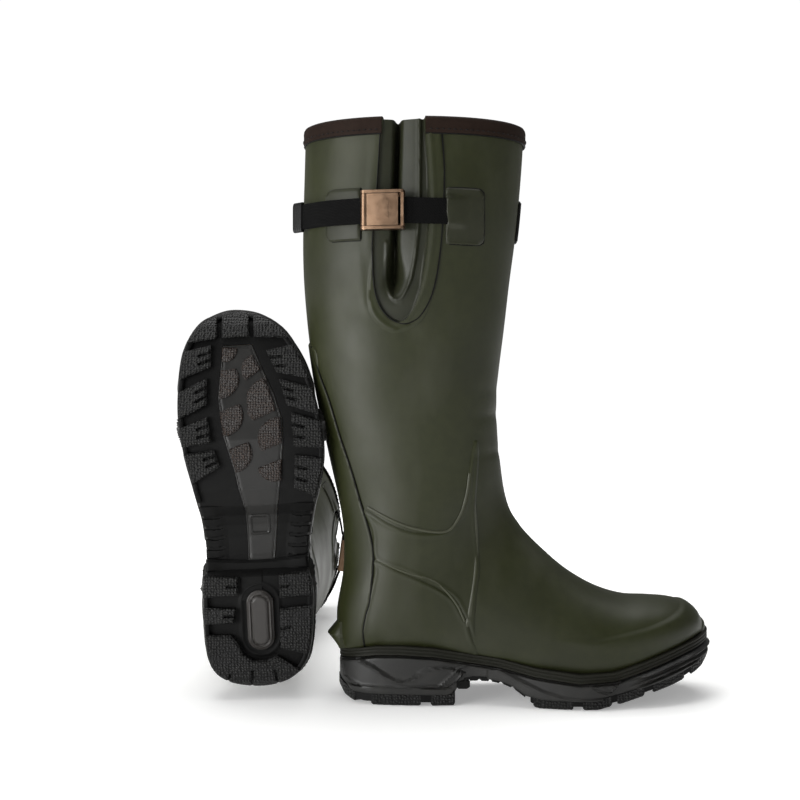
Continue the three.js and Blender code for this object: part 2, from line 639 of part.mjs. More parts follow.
function makeSoleCentre() {
  const plate = sidePrism(between(raise(GROOVE_LINE, -0.6), raise(GROOVE_LINE, 1.2)), -FAR, FAR)
    .intersect(planPrism(centrePlan.map(([x, y]) => [187 + (x - 187) * 0.994, y * 0.97]), -5, 80));
  let strip = plate;
  const padBand = sidePrism(between(raise(GROOVE_LINE, -2.8), raise(GROOVE_LINE, 0)), -FAR, FAR);
  for (const [x, v] of PAD_CENTRES) {
    const pad = [];
    for (let step = 0; step < 8; step += 1) {
      const angle = (step * Math.PI) / 4;
      pad.push([x + PAD_HALF[0] * Math.cos(angle), v + PAD_HALF[1] * Math.sin(angle)]);
    }
    strip = strip.add(planPrism(flip(pad), -5, 80).intersect(padBand));
  }
  return strip.intersect(planPrism(centrePlan.map(([x, y]) => [187 + (x - 187) * 0.994, y * 0.97]), -5, 80));
}

function makeHeelCapsule() {
  return planPrism(capsuleOutline(0), 1.5, HEEL_TREAD + 1.4);
}

function makeWelt() {
  const band = between(raise(WELT_LINE, -WELT_HEIGHT), WELT_LINE);
  return sidePrism(band, -FAR, FAR).intersect(planPrism(insetEdge(0.8), -5, 80))
    .subtract(last(GAP, SHELL_SIDES));
}

function makeBoard() {
  return last(2.4, SHELL_SIDES).subtract(last(GAP, SHELL_SIDES)).intersect(boardPlan)
    .intersect(sidePrism(between([[-FAR, -FAR], [2 * FAR, -FAR]], raise(WELT_LINE, -WELT_HEIGHT)), -FAR, FAR));
}

function makeShank() {
  return last(4.4, SHELL_SIDES).subtract(last(3.3, SHELL_SIDES))
    .intersect(box(SHANK[0], SHANK[1], SHANK[2], SHANK[3], 0, 60));
}

function makeFootbed() {
  const bed = SECTIONS.slice(9).map(([x, z]) => [x, z + 14.5]);
  return last(liningInner - GAP, SHELL_SIDES)
    .intersect(sidePrism([[-20, 0], [320, 0], ...[...bed].reverse(), [-20, bed[0][1]]], -FAR, FAR));
}

// ---------------------------------------------------------------- the pair

const COLOURS = {
  olive: [0x3b3d2b, 0.62, 0],
  olive_dark: [0x2c2f20, 0.6, 0],
  brown: [0x2b211a, 0.7, 0],
  black_rubber: [0x1a1a19, 0.72, 0],
  webbing: [0x0e0e0e, 0.85, 0],
  metal: [0x8a6f58, 0.32, 1],
  neoprene: [0x24261f, 0.95, 0],
  centre: [0x2e2926, 0.75, 0],
  board: [0x8d7b60, 0.9, 0],
  steel: [0x9a9a98, 0.35, 1],
  foam: [0x3f4a3a, 0.95, 0],
};

function material(kind) {
  const [color, roughness, metalness] = COLOURS[kind];
  return new THREE.MeshStandardMaterial({ color, roughness, metalness });
}

const PIECES = {
  upper_shell: ['olive', makeShell()],
  neoprene_lining: ['neoprene', makeLining()],
  gusset: ['olive_dark', makeGusset()],
  gusset_trim: ['olive', makeGussetTrim()],
  top_binding: ['brown', makeBinding()],
  backstay: ['olive', makeBackstay()],
  kick_spur: ['olive', makeSpur()],
  outer_heel_counter: ['olive', makeHeelCounter(OUTER_SIDE)],
  inner_heel_counter: ['olive', makeHeelCounter(INNER_SIDE)],
  outer_ankle_panel: ['olive', makeAnklePanel(OUTER_SIDE)],
  inner_ankle_panel: ['olive', makeAnklePanel(INNER_SIDE)],
  toe_rand: ['olive', makeToeRand()],
  front_patch: ['olive', makePatch(FRONT_PATCH)],
  rear_patch: ['olive', makePatch(REAR_PATCH)],
  front_badge: ['black_rubber', makeFrontBadge()],
  strap_front: ['webbing', makeStrapFront()],
  buckle_anchor: ['webbing', makeBuckleAnchor()],
  buckle_frame: ['metal', makeBuckleFrame()],
  buckle_pin: ['metal', makeBucklePin()],
  buckle_lever: ['metal', makeBuckleLever()],
  welt: ['black_rubber', makeWelt()],
  outsole: ['black_rubber', makeOutsole()],
  sole_centre: ['centre', makeSoleCentre()],
  heel_capsule: ['black_rubber', makeHeelCapsule()],
  insole_board: ['board', makeBoard()],
  shank: ['steel', makeShank()],
  footbed: ['foam', makeFootbed()],
};

function makeBoot(side, tailLine) {
  const boot = new THREE.Group();
  const pieces = {
    ...PIECES,
    strap_tail: ['webbing', webbing(tailLine, STRAP_WALL, STRAP_WIDTH)],
    strap_tip: ['black_rubber', makeTip(tailLine)],
  };
  for (const [name, [kind, solid]] of Object.entries(pieces)) {
    const mesh = new THREE.Mesh(toGeometry(solid), material(kind));
    mesh.name = `${side}_${name}`;
    boot.add(mesh);
  }
  return boot;
}

const rightBoot = makeBoot('right', TAIL_FREE);

const leftBoot = makeBoot('left', TAIL_CLOSE);
leftBoot.scale.set(1, -1, 1);

// The lying boot: its toe points up, its shaft runs away to the back and its outer side faces +X.
const onItsBack = new THREE.Group();
const towards = new THREE.Matrix4().makeBasis(
  new THREE.Vector3(0, 0, 1), new THREE.Vector3(1, 0, 0), new THREE.Vector3(0, 1, 0),
);
onItsBack.quaternion.setFromRotationMatrix(towards);
onItsBack.add(leftBoot);

const tilted = new THREE.Group();
tilted.rotation.x = Math.atan2(CALF_REACH - SPUR_REACH, CALF_CONTACT_Z - SPUR_CONTACT_Z);
tilted.add(onItsBack);

const lying = new THREE.Group();
lying.rotation.order = 'ZYX';
lying.rotation.y = LYING_LEAN;
lying.rotation.z = LYING_YAW;
lying.position.set(LYING_X, LYING_Y, 0);
lying.add(tilted);

const boots = new THREE.Group();
boots.add(rightBoot, lying);
boots.updateMatrixWorld(true);
lying.position.z = -new THREE.Box3().setFromObject(lying, true).min.z;

// The pair's origin is the middle of its footprint, on the floor.
const footprint = new THREE.Box3().setFromObject(boots, true);
boots.position.x = -(footprint.min.x + footprint.max.x) / 2;
boots.position.y = -(footprint.min.y + footprint.max.y) / 2;

const pair = new THREE.Group();
pair.add(boots);

export default pair;
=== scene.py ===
"""A pair of insulated rubber hunting boots: the right one stands, the left one lies on its back.

Every piece is drawn in the boot's own frame, in millimetres: x runs from heel to toe, z runs up the
shaft, and the outer side of the right boot faces -y. to_row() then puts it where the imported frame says.
"""

import json
import math

import bmesh
import bpy
import numpy as np
from mathutils import Matrix, Vector


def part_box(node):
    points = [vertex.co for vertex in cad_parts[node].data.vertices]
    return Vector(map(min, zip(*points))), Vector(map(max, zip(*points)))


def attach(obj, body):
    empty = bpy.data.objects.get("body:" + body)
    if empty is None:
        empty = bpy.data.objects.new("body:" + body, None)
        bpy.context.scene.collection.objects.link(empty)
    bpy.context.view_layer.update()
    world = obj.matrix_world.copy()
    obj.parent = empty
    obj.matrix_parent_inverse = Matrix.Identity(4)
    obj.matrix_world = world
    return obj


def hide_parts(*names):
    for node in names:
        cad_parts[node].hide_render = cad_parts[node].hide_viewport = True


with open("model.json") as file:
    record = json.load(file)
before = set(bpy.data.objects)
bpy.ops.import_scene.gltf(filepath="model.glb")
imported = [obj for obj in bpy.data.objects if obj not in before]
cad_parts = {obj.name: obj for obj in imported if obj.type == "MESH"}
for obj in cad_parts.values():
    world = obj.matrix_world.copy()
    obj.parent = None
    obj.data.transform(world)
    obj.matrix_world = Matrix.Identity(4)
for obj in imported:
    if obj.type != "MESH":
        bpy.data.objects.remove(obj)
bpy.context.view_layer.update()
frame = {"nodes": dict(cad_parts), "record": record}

SIDES = ("right", "left")

# ---------------------------------------------------------------- driving dimensions, as in the CAD model

SHELL_TOP = 458.0
SHELL_WALL = 2.4
LINING_FACE = 7.35          # inner face of the neoprene, below the shell's outside
CLEARANCE = 0.45            # between neighbouring pieces
PANEL = 1.3                 # height of the rubber panels laid on the shell
BEDDED = 0.4                # how far laid-on rubber reaches into the shell
STRAP_Z = 386.0
STRAP_WIDTH = 20.0
STRAP_WALL = 1.8
BUCKLE_X = 36.5
BUCKLE_LENGTH = 34.0
BUCKLE_HEIGHT = 30.0
BUCKLE_DEPTH = 9.6
BUCKLE_TURN = 0.17
BASE_WALL = 1.2
FLANGE_WALL = 2.3
LEVER_WALL = 1.6
BARREL_RADIUS = 3.0
CALF = (58.5, 87.5, 58.0)   # centre x, half length and half width of the calf at the strap
ROUNDNESS = 2.1
WELT_HEIGHT = 7.0
LYING_LEAN = -0.042
LYING_YAW = 0.03
SPUR_REST = (10.2, 49)       # the lying boot rests on its kick spur and the back of its calf:
CALF_REST = (29.5, 370)      # how far back each point is, and its height on the standing boot
LYING_TILT = math.atan2(CALF_REST[0] - SPUR_REST[0], CALF_REST[1] - SPUR_REST[1])

# Cross sections: back x, back z, front x, front z, centre y, half width, place of the widest point, squareness
SECTIONS = np.array([
    [-26, 484, 150, 484, 0, 58, 0.50, 2.1],
    [-28, 440, 149.5, 440, 0, 58, 0.50, 2.1],
    [-29.5, 385, 145, 385, 0, 58, 0.50, 2.1],
    [-28.5, 325, 137.5, 325, 0, 55, 0.50, 2.1],
    [-21, 260, 130.5, 270, 0, 51, 0.50, 2.1],
    [-9, 200, 128, 238, 0, 47, 0.48, 2.1],
    [3, 145, 128.5, 210, 0, 44.5, 0.46, 2.1],
    [4.5, 105, 131, 188, 0, 43.5, 0.44, 2.15],
    [-1, 66, 134.5, 166, 0, 42, 0.40, 2.25],
    [4, 39, 139, 151, 0, 41.5, 0.36, 2.6],
    [24, 37.5, 145, 141, 0, 41, 0.34, 3.2],
    [58, 37.5, 152, 132, 0, 41, 0.33, 3.8],
    [94, 33.5, 164, 120, -1, 42, 0.34, 4],
    [127, 29, 184, 103, -2, 45, 0.36, 4],
    [158, 22.5, 207, 89.5, -3, 48.5, 0.38, 4],
    [190, 19, 230, 82, -2.5, 50.5, 0.40, 4],
    [216, 20.5, 251, 80.5, -1, 49.5, 0.42, 4],
    [238, 26.5, 268, 79, 1.5, 46.5, 0.44, 3.8],
    [257, 33.5, 281, 75.5, 4, 41.5, 0.45, 3.4],
    [273, 39, 290, 69, 6.5, 33.5, 0.46, 3],
    [286, 44, 295, 61, 8, 21.5, 0.47, 2.6],
])
TOE_TIP = np.array([296, 8.5, 51.0])

WELT_LINE = [
    (-6, 39), (0, 40), (12, 43), (30, 46), (50, 46.5), (76, 45), (106, 40), (128, 37), (154, 31),
    (189, 27), (216, 28.5), (238, 35), (261, 42.5), (280, 48.5), (300, 54), (308, 56),
]
TREAD_LINE = [
    (-6, 16), (-0.5, 10), (5, 4), (12, 1.6), (20, 0), (92, 0), (95.5, 9), (98, 16.5), (118, 15.5),
    (135, 14.5), (141, 7), (148, 2), (158, 0), (202, 0), (222, 4.6), (247, 11.5), (263, 16),
    (275, 20), (291, 27), (300, 35), (308, 41),
]
GROOVE_LINE = [
    (-6, 22), (2, 13), (12, 8), (24, 7), (90, 7), (97, 18.4), (106, 20.6), (120, 20.4), (130, 18.6),
    (138, 15.4), (147, 9),
    (160, 6), (200, 6), (222, 10.6), (247, 17.5), (263, 22), (275, 26.5), (290, 33), (300, 40), (308, 45),
]
SOLE_EDGE = [
    (0, 0), (4, -18), (15, -33), (35, -40.5), (73, -43.5), (107, -41.5), (138, -46.5), (168, -54.5),
    (194, -58), (225, -54), (254, -46), (273, -36.5), (287, -26), (298, -9), (301.5, 10), (299, 24),
    (291, 38), (274, 49), (254, 53.5), (225, 55.5), (194, 52.5), (168, 47), (138, 41.5), (107, 40),
    (73, 42), (35, 41.5), (15, 35.5), (4, 20),
]

SLIT = [
    (36, 480), (36, 458), (31, 404), (28.5, 365), (29.7, 328), (33.6, 312.5), (41.4, 303.5),
    (50, 301), (57, 307), (65.6, 328), (71.8, 376), (71, 420), (68, 458), (68, 480),
]
TRIM = [
    (80, 480), (81, 445.5), (84, 411), (81.8, 367), (77, 333), (69, 306), (58, 295.5), (47.6, 292),
    (38, 294), (28, 303), (23.5, 316), (24.5, 340), (28.4, 364), (29.5, 380), (60, 380), (60, 480),
]
BACKSTAY = [
    (-60, 288), (-22, 284), (-15, 262), (-6.8, 240), (2, 211), (10.6, 185.6), (18.5, 158.4), (25.6, 135.4),
    (28.4, 120), (28, 104), (25.6, 81), (22.8, 70.8), (20.4, 57.6), (21.5, 44), (22, 20), (-60, 20),
]
COUNTER = [
    (24, 81), (29, 104), (28.8, 113.6), (49.2, 105.2), (67.4, 97.3), (80, 91), (91.5, 82.5), (99, 69),
    (104, 59), (105, 20), (10, 20), (19, 57.6), (21.5, 70.8),
]
ANKLE = [
    (20, 153.5), (40.5, 143), (57.6, 136.7), (74.5, 135.4), (86.3, 137.5), (94.2, 146.8), (100.5, 162),
    (103.5, 183), (107.7, 207), (112, 200), (109.2, 149.5), (112.4, 110), (110, 90), (108, 67), (108, 52),
    (104.6, 60), (99.6, 69.6), (92, 83.2), (80.4, 91.8), (67.8, 98.1), (49.4, 106), (29.8, 114), (27.2, 135.8),
]
TOE_RAND = [
    (150, 10), (150, 56), (176, 56), (198, 54.5), (216, 57), (248, 64), (272, 73.5), (284, 86), (320, 110),
    (320, 10),
]
FRONT_PATCH = (85, 115, 361, 404.5)
REAR_PATCH = (-9, 18.6, 364, 405)


# ---------------------------------------------------------------- placing pieces in the frame

def rotation_to_lying():
    basis = Matrix(((0, 1, 0), (0, 0, 1), (1, 0, 0)))
    yaw = Matrix.Rotation(LYING_YAW, 3, "Z")
    lean = Matrix.Rotation(LYING_LEAN, 3, "Y")
    tilt = Matrix.Rotation(LYING_TILT, 3, "X")
    mirror = Matrix(((1, 0, 0), (0, -1, 0), (0, 0, 1)))
    return np.array(yaw @ lean @ tilt @ basis @ mirror)


def boot_places():
    """Rotation and origin of each boot in the row frame; the lever hinge is a point that both share."""
    hinges = {j["name"]: np.array(j["pos_m"]) for j in frame["record"]["behaviour"]["joints"] if "pos_m" in j}
    low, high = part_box("right_shank")
    shank_start = 62.0
    origin = np.array([low[0] - shank_start / 1000, (low[1] + high[1]) / 2, 0])
    turn = rotation_to_lying()
    left = hinges["left_lever_hinge"] - turn @ (hinges["right_lever_hinge"] - origin)
    return {"right": (np.eye(3), origin), "left": (turn, left)}


PLACES = boot_places()


def to_row(points, side):
    turn, origin = PLACES[side]
    return np.asarray(points, float) / 1000 @ turn.T + origin


def add_piece(name, shape, finish, sharp, only):
    """Makes right_NAME and left_NAME from a shape in the boot's frame."""
    points, faces = shape
    made = {}
    for side in (only,) if only else SIDES:
        mesh = bpy.data.meshes.new(f"{side}_{name}")
        mesh.from_pydata(to_row(points, side).tolist(), [], faces)
        if side == "left":
            mesh.flip_normals()
        mesh.validate()
        mesh.materials.append(finish.material)
        mesh.shade_smooth()
        mesh.set_sharp_from_angle(angle=math.radians(sharp))
        piece = bpy.data.objects.new(f"{side}_{name}_skin", mesh)
        bpy.context.scene.collection.objects.link(piece)
        made[side] = piece
    return made


def put(name, shape, finish, body="boot", sharp=38, only=None, replaces=True):
    """Adds a piece to both boots, or to one. It stands for the CAD solid of its name unless replaces is off."""
    made = add_piece(name, shape, finish, sharp, only)
    for side, piece in made.items():
        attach(piece, f"{side}_{body}")
        if replaces:
            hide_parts(f"{side}_{name}")
    return made


# ---------------------------------------------------------------- lines and distances

def catmull(points, per_step, closed=False):
    pts = np.array(points, float)
    count = len(pts)
    if closed:
        index = lambda i: i % count
        spans = count
    else:
        index = lambda i: min(max(i, 0), count - 1)
        spans = count - 1
    out = []
    for i in range(spans):
        a, b, c, d = (pts[index(i + k)] for k in (-1, 0, 1, 2))
        for step in range(per_step):
            t = step / per_step
            out.append(0.5 * (2 * b + (c - a) * t + (2 * a - 5 * b + 4 * c - d) * t ** 2
                              + (3 * b - a - 3 * c + d) * t ** 3))
    if not closed:
        out.append(pts[-1])
    return np.array(out)


def smooth_outline(points):
    return [tuple(p) for p in catmull(points, 5, closed=True)]


def height_on(line, x):
    pts = np.array(line, float)
    return np.interp(x, pts[:, 0], pts[:, 1])


def distance_inside(outline, x, z):
    """Distance to a closed outline, positive inside it."""
    poly = np.array(outline, float)
    flat_x, flat_z = np.ravel(x), np.ravel(z)
    nearest = np.full(flat_x.shape, 1e9)
    inside = np.zeros(flat_x.shape, bool)
    for (x0, z0), (x1, z1) in zip(poly, np.roll(poly, -1, axis=0)):
        dx, dz = x1 - x0, z1 - z0
        t = np.clip(((flat_x - x0) * dx + (flat_z - z0) * dz) / max(dx * dx + dz * dz, 1e-9), 0, 1)
        nearest = np.minimum(nearest, np.hypot(flat_x - x0 - t * dx, flat_z - z0 - t * dz))
        if z0 != z1:
            crosses = (z0 > flat_z) != (z1 > flat_z)
            inside ^= crosses & (flat_x < x0 + (flat_z - z0) * dx / dz)
    return np.where(inside, nearest, -nearest).reshape(np.shape(x))


def distance_to_line(line, x, z):
    pts = np.array(line, float)
    nearest = np.full(np.shape(x), 1e9)
    for (x0, z0), (x1, z1) in zip(pts[:-1], pts[1:]):
        dx, dz = x1 - x0, z1 - z0
        t = np.clip(((x - x0) * dx + (z - z0) * dz) / (dx * dx + dz * dz), 0, 1)
        nearest = np.minimum(nearest, np.hypot(x - x0 - t * dx, z - z0 - t * dz))
    return nearest


def smooth_step(value, low, high):
    t = np.clip((value - low) / (high - low), 0, 1)
    return t * t * (3 - 2 * t)


def bell(value, centre, width):
    return np.exp(-((value - centre) / width) ** 2)


SLIT_LINE = smooth_outline(SLIT)
TRIM_LINE = smooth_outline(TRIM)


# ---------------------------------------------------------------- the boot's surface

def section_rows(t):
    last = len(SECTIONS) - 1
    i = np.clip(np.floor(t).astype(int), 0, last - 1)
    u = (t - i)[:, None]
    a, b, c, d = (SECTIONS[np.clip(i + k, 0, last)] for k in (-1, 0, 1, 2))
    return 0.5 * (2 * b + (c - a) * u + (2 * a - 5 * b + 4 * c - d) * u ** 2 + (3 * b - a - 3 * c + d) * u ** 3)


def half_ring(row, count):
    """Evenly spaced points from the front or top line round to the back or bottom line, on the +y side."""
    back_x, back_z, front_x, front_z, centre_y, half_width, widest, squareness = row
    length = math.hypot(front_x - back_x, front_z - back_z)
    turn = np.linspace(0, math.pi, 721)
    c, s = np.cos(turn), np.sin(turn)
    power = np.where(c < 0, 2 / squareness, 2 / ROUNDNESS)
    reach = np.where(c < 0, length * widest, length * (1 - widest))
    along = length * widest + np.sign(c) * reach * np.abs(c) ** power
    across = half_width * np.abs(s) ** power
    walked = np.concatenate([[0], np.cumsum(np.hypot(np.diff(along), np.diff(across)))])
    stops = np.linspace(0, walked[-1], count)
    along = np.interp(stops, walked, along)
    across = np.interp(stops, walked, across)
    dir_x, dir_z = (front_x - back_x) / length, (front_z - back_z) / length
    return back_x + dir_x * along, across, back_z + dir_z * along, centre_y


HALF = 160


def toe_dome(ring):
    """Rings that close the toe in front of the last section."""
    centre = ring.mean(axis=0)
    rings = []
    for step in (0.25, 0.45, 0.62, 0.76, 0.87, 0.95, 0.985):
        size = (1 - step ** 2) ** 0.5
        rings.append(centre + (ring - centre) * size + (TOE_TIP - centre) * step)
    return rings


def surface_grid(stations):
    """Points of the boot's surface, one ring of 2 * HALF points for each station."""
    rings = []
    for row in section_rows(stations):
        x, across, z, centre_y = half_ring(row, HALF + 1)
        there = np.stack([x, centre_y + across, z], 1)
        back = np.stack([x, centre_y - across, z], 1)[-2:0:-1]
        rings.append(np.concatenate([there, back]))
    return np.array(rings + toe_dome(rings[-1]))


def grid_normals(grid):
    along = np.gradient(grid, axis=0)
    around = (np.roll(grid, -1, axis=1) - np.roll(grid, 1, axis=1)) / 2
    normal = np.cross(along, around)
    normal /= np.maximum(np.linalg.norm(normal, axis=2, keepdims=True), 1e-9)
    centre = grid.mean(axis=1, keepdims=True)
    outward = np.sign(((grid - centre) * normal).sum(axis=2).mean())
    return normal * outward


def choose_stations():
    """Stations less than two millimetres apart, from the top edge of the shell to the toe."""
    t = np.linspace(0, len(SECTIONS) - 1, 4000)
    rows = section_rows(t)
    start = np.interp(-SHELL_TOP, -rows[:400, 1], t[:400])
    t = np.linspace(start, len(SECTIONS) - 1, 4000)
    rows = section_rows(t)
    back = np.hypot(*np.diff(rows[:, 0:2], axis=0).T)
    front = np.hypot(*np.diff(rows[:, 2:4], axis=0).T)
    walked = np.concatenate([[0], np.cumsum(np.maximum(back, front))])
    return np.interp(np.linspace(0, walked[-1], 430), walked, t)


def on_outer_side(y):
    return smooth_step(-y, 8, 16)


def relief(points):
    """Small unevenness of hand-laid rubber, in millimetres."""
    x, y, z = points[..., 0], points[..., 1], points[..., 2]
    waves = 0.22 * np.sin(x / 17 + z / 41 + 0.6) * np.cos(z / 29 - y / 23)
    waves += 0.16 * np.sin(z / 13 + y / 19 + 1.7) * np.sin(x / 31 + 0.4)
    waves += 0.3 * np.sin(z / 61 + 1.1) * np.cos(x / 37 + y / 47)
    waves *= 0.45 + 0.55 * smooth_step(z, 150, 230)
    # soft creases where the shaft has folded at the ankle
    for height, depth, spread in ((226, 0.55, 5.0), (196, 0.5, 4.0), (247, 0.35, 6.0)):
        fold = bell(z - height - 0.12 * (x - 110), 0, spread) * smooth_step(x, 96, 128)
        waves -= depth * fold
    # soft beads follow the rear edge of the calf slit
    slit = -distance_inside(SLIT_LINE, x, z)
    bead = 0.8 * bell(slit, 4.2, 1.9) * smooth_step(z, 340, 370) * smooth_step(-z, -452, -440)
    bead += 0.8 * bell(slit, 10.5, 2.6) * smooth_step(z, 300, 318) * smooth_step(-z, -372, -340)
    return waves + bead * on_outer_side(y) * (x < 42)


STATIONS = choose_stations()
BARE = surface_grid(STATIONS)
SURFACE = BARE + grid_normals(BARE) * relief(BARE)[..., None]
SURFACE[0, :, 2] = SHELL_TOP
NORMALS = grid_normals(SURFACE)
X, Y, Z = SURFACE[..., 0], SURFACE[..., 1], SURFACE[..., 2]
ABOVE_SOLE = Z - height_on(WELT_LINE, X) + 1.5


# ---------------------------------------------------------------- patches cut from a grid

def clip_grid(field, rows, cols, wrap=False):
    """Cuts a grid along field = 0. Returns each vertex as two grid points and a mix, and the faces."""
    inside = field[np.ix_(rows, cols)] >= 0
    left = inside if wrap else inside[:, :-1]
    right = np.roll(inside, -1, axis=1) if wrap else inside[:, 1:]
    touched = left[:-1] | left[1:] | right[:-1] | right[1:]
    verts, faces, index = [], [], {}

    def corner(p):
        if p not in index:
            index[p] = len(verts)
            verts.append((*p, *p, 0.0))
        return index[p]

    def cut(p, q):
        key = (p, q) if p < q else (q, p)
        if key not in index:
            f0, f1 = field[key[0]], field[key[1]]
            index[key] = len(verts)
            verts.append((*key[0], *key[1], f0 / (f0 - f1)))
        return index[key]

    for a, b in np.argwhere(touched):
        j0, j1 = cols[b], cols[(b + 1) % len(cols)]
        quad = [(rows[a], j0), (rows[a + 1], j0), (rows[a + 1], j1), (rows[a], j1)]
        keep = [field[p] >= 0 for p in quad]
        face = []
        for k in range(4):
            if keep[k]:
                face.append(corner(quad[k]))
            if keep[k] != keep[(k + 1) % 4]:
                face.append(cut(quad[k], quad[(k + 1) % 4]))
        if len(face) >= 3:
            faces.append(face)
    return np.array(verts), faces


def mix(values, verts):
    i0, j0, i1, j1 = (verts[:, k].astype(int) for k in range(4))
    t = verts[:, 4] if values.ndim == 2 else verts[:, 4:5]
    return values[i0, j0] * (1 - t) + values[i1, j1] * t


def solid_between(top, bottom, faces):
    """A closed solid between two copies of one open patch."""
    count = len(top)
    edges = {(a, b) for face in faces for a, b in zip(face, face[1:] + face[:1])}
    solid = [list(face) for face in faces]
    solid += [[v + count for v in reversed(face)] for face in faces]
    solid += [[b, a, a + count, b + count] for a, b in edges if (b, a) not in edges]
    return facing_out(np.concatenate([top, bottom]), solid)


def facing_out(points, faces):
    """The mesh with its faces turned so that it encloses a positive volume."""
    first, second, third = [], [], []
    for face in faces:
        for b, c in zip(face[1:-1], face[2:]):
            first.append(face[0])
            second.append(b)
            third.append(c)
    a, b, c = points[first], points[second], points[third]
    if (a * np.cross(b, c)).sum() < 0:
        faces = [face[::-1] for face in faces]
    return points, faces


def joined(parts):
    points, faces, count = [], [], 0
    for part_points, part_faces in parts:
        points.append(np.asarray(part_points, float))
        faces += [[v + count for v in face] for face in part_faces]
        count += len(part_points)
    return np.concatenate(points), faces


def skin(field, height, depth, step=1):
    """A layer of rubber on the boot's surface where field is positive. height is a number or a grid."""
    rows = list(range(0, SURFACE.shape[0], step))
    if rows[-1] != SURFACE.shape[0] - 1:
        rows.append(SURFACE.shape[0] - 1)
    verts, faces = clip_grid(field, rows, list(range(0, 2 * HALF, step)), wrap=True)
    points, normals = mix(SURFACE, verts), mix(NORMALS, verts)
    normals /= np.linalg.norm(normals, axis=1, keepdims=True)
    lift = mix(height, verts)[:, None] if isinstance(height, np.ndarray) else height
    return solid_between(points + normals * lift, points - normals * depth, faces)


PLAN_STEP = 0.9


def plan_patch(field_of, low_of, high_of, reach):
    """A solid seen from below: kept where field_of(x, y) is positive, between two heights."""
    x0, x1, y0, y1 = reach
    xs, ys = np.arange(x0, x1 + PLAN_STEP, PLAN_STEP), np.arange(y0, y1 + PLAN_STEP, PLAN_STEP)
    grid_x, grid_y = np.meshgrid(xs, ys, indexing="ij")
    field = field_of(grid_x, grid_y)
    verts, faces = clip_grid(field, list(range(len(xs))), list(range(len(ys))))
    x, y = mix(grid_x, verts), mix(grid_y, verts)
    inner = np.maximum(mix(field, verts), 0)
    low = np.stack([x, y, low_of(x, y, inner)], 1)
    return solid_between(low, np.stack([x, y, high_of(x, y)], 1), faces)


def loft(rings, closed=True):
    """Faces between rings of points. closed joins the last ring to the first."""
    count, around = len(rings), len(rings[0])
    faces = []
    for i in range(count if closed else count - 1):
        for j in range(around):
            a, b = i * around, ((i + 1) % count) * around
            faces.append([a + j, b + j, b + (j + 1) % around, a + (j + 1) % around])
    if not closed:
        faces.append(list(range(around))[::-1])
        faces.append(list(range((count - 1) * around, count * around)))
    return facing_out(np.concatenate(rings), faces)


# ---------------------------------------------------------------- materials

def srgb(red, green, blue):
    linear = [((c / 255 + 0.055) / 1.055) ** 2.4 if c > 10 else c / 255 / 12.92 for c in (red, green, blue)]
    return (*linear, 1)


SOCKETS = {"metallic": "Metallic", "sheen_weight": "Sheen Weight", "specular_ior_level": "Specular IOR Level"}


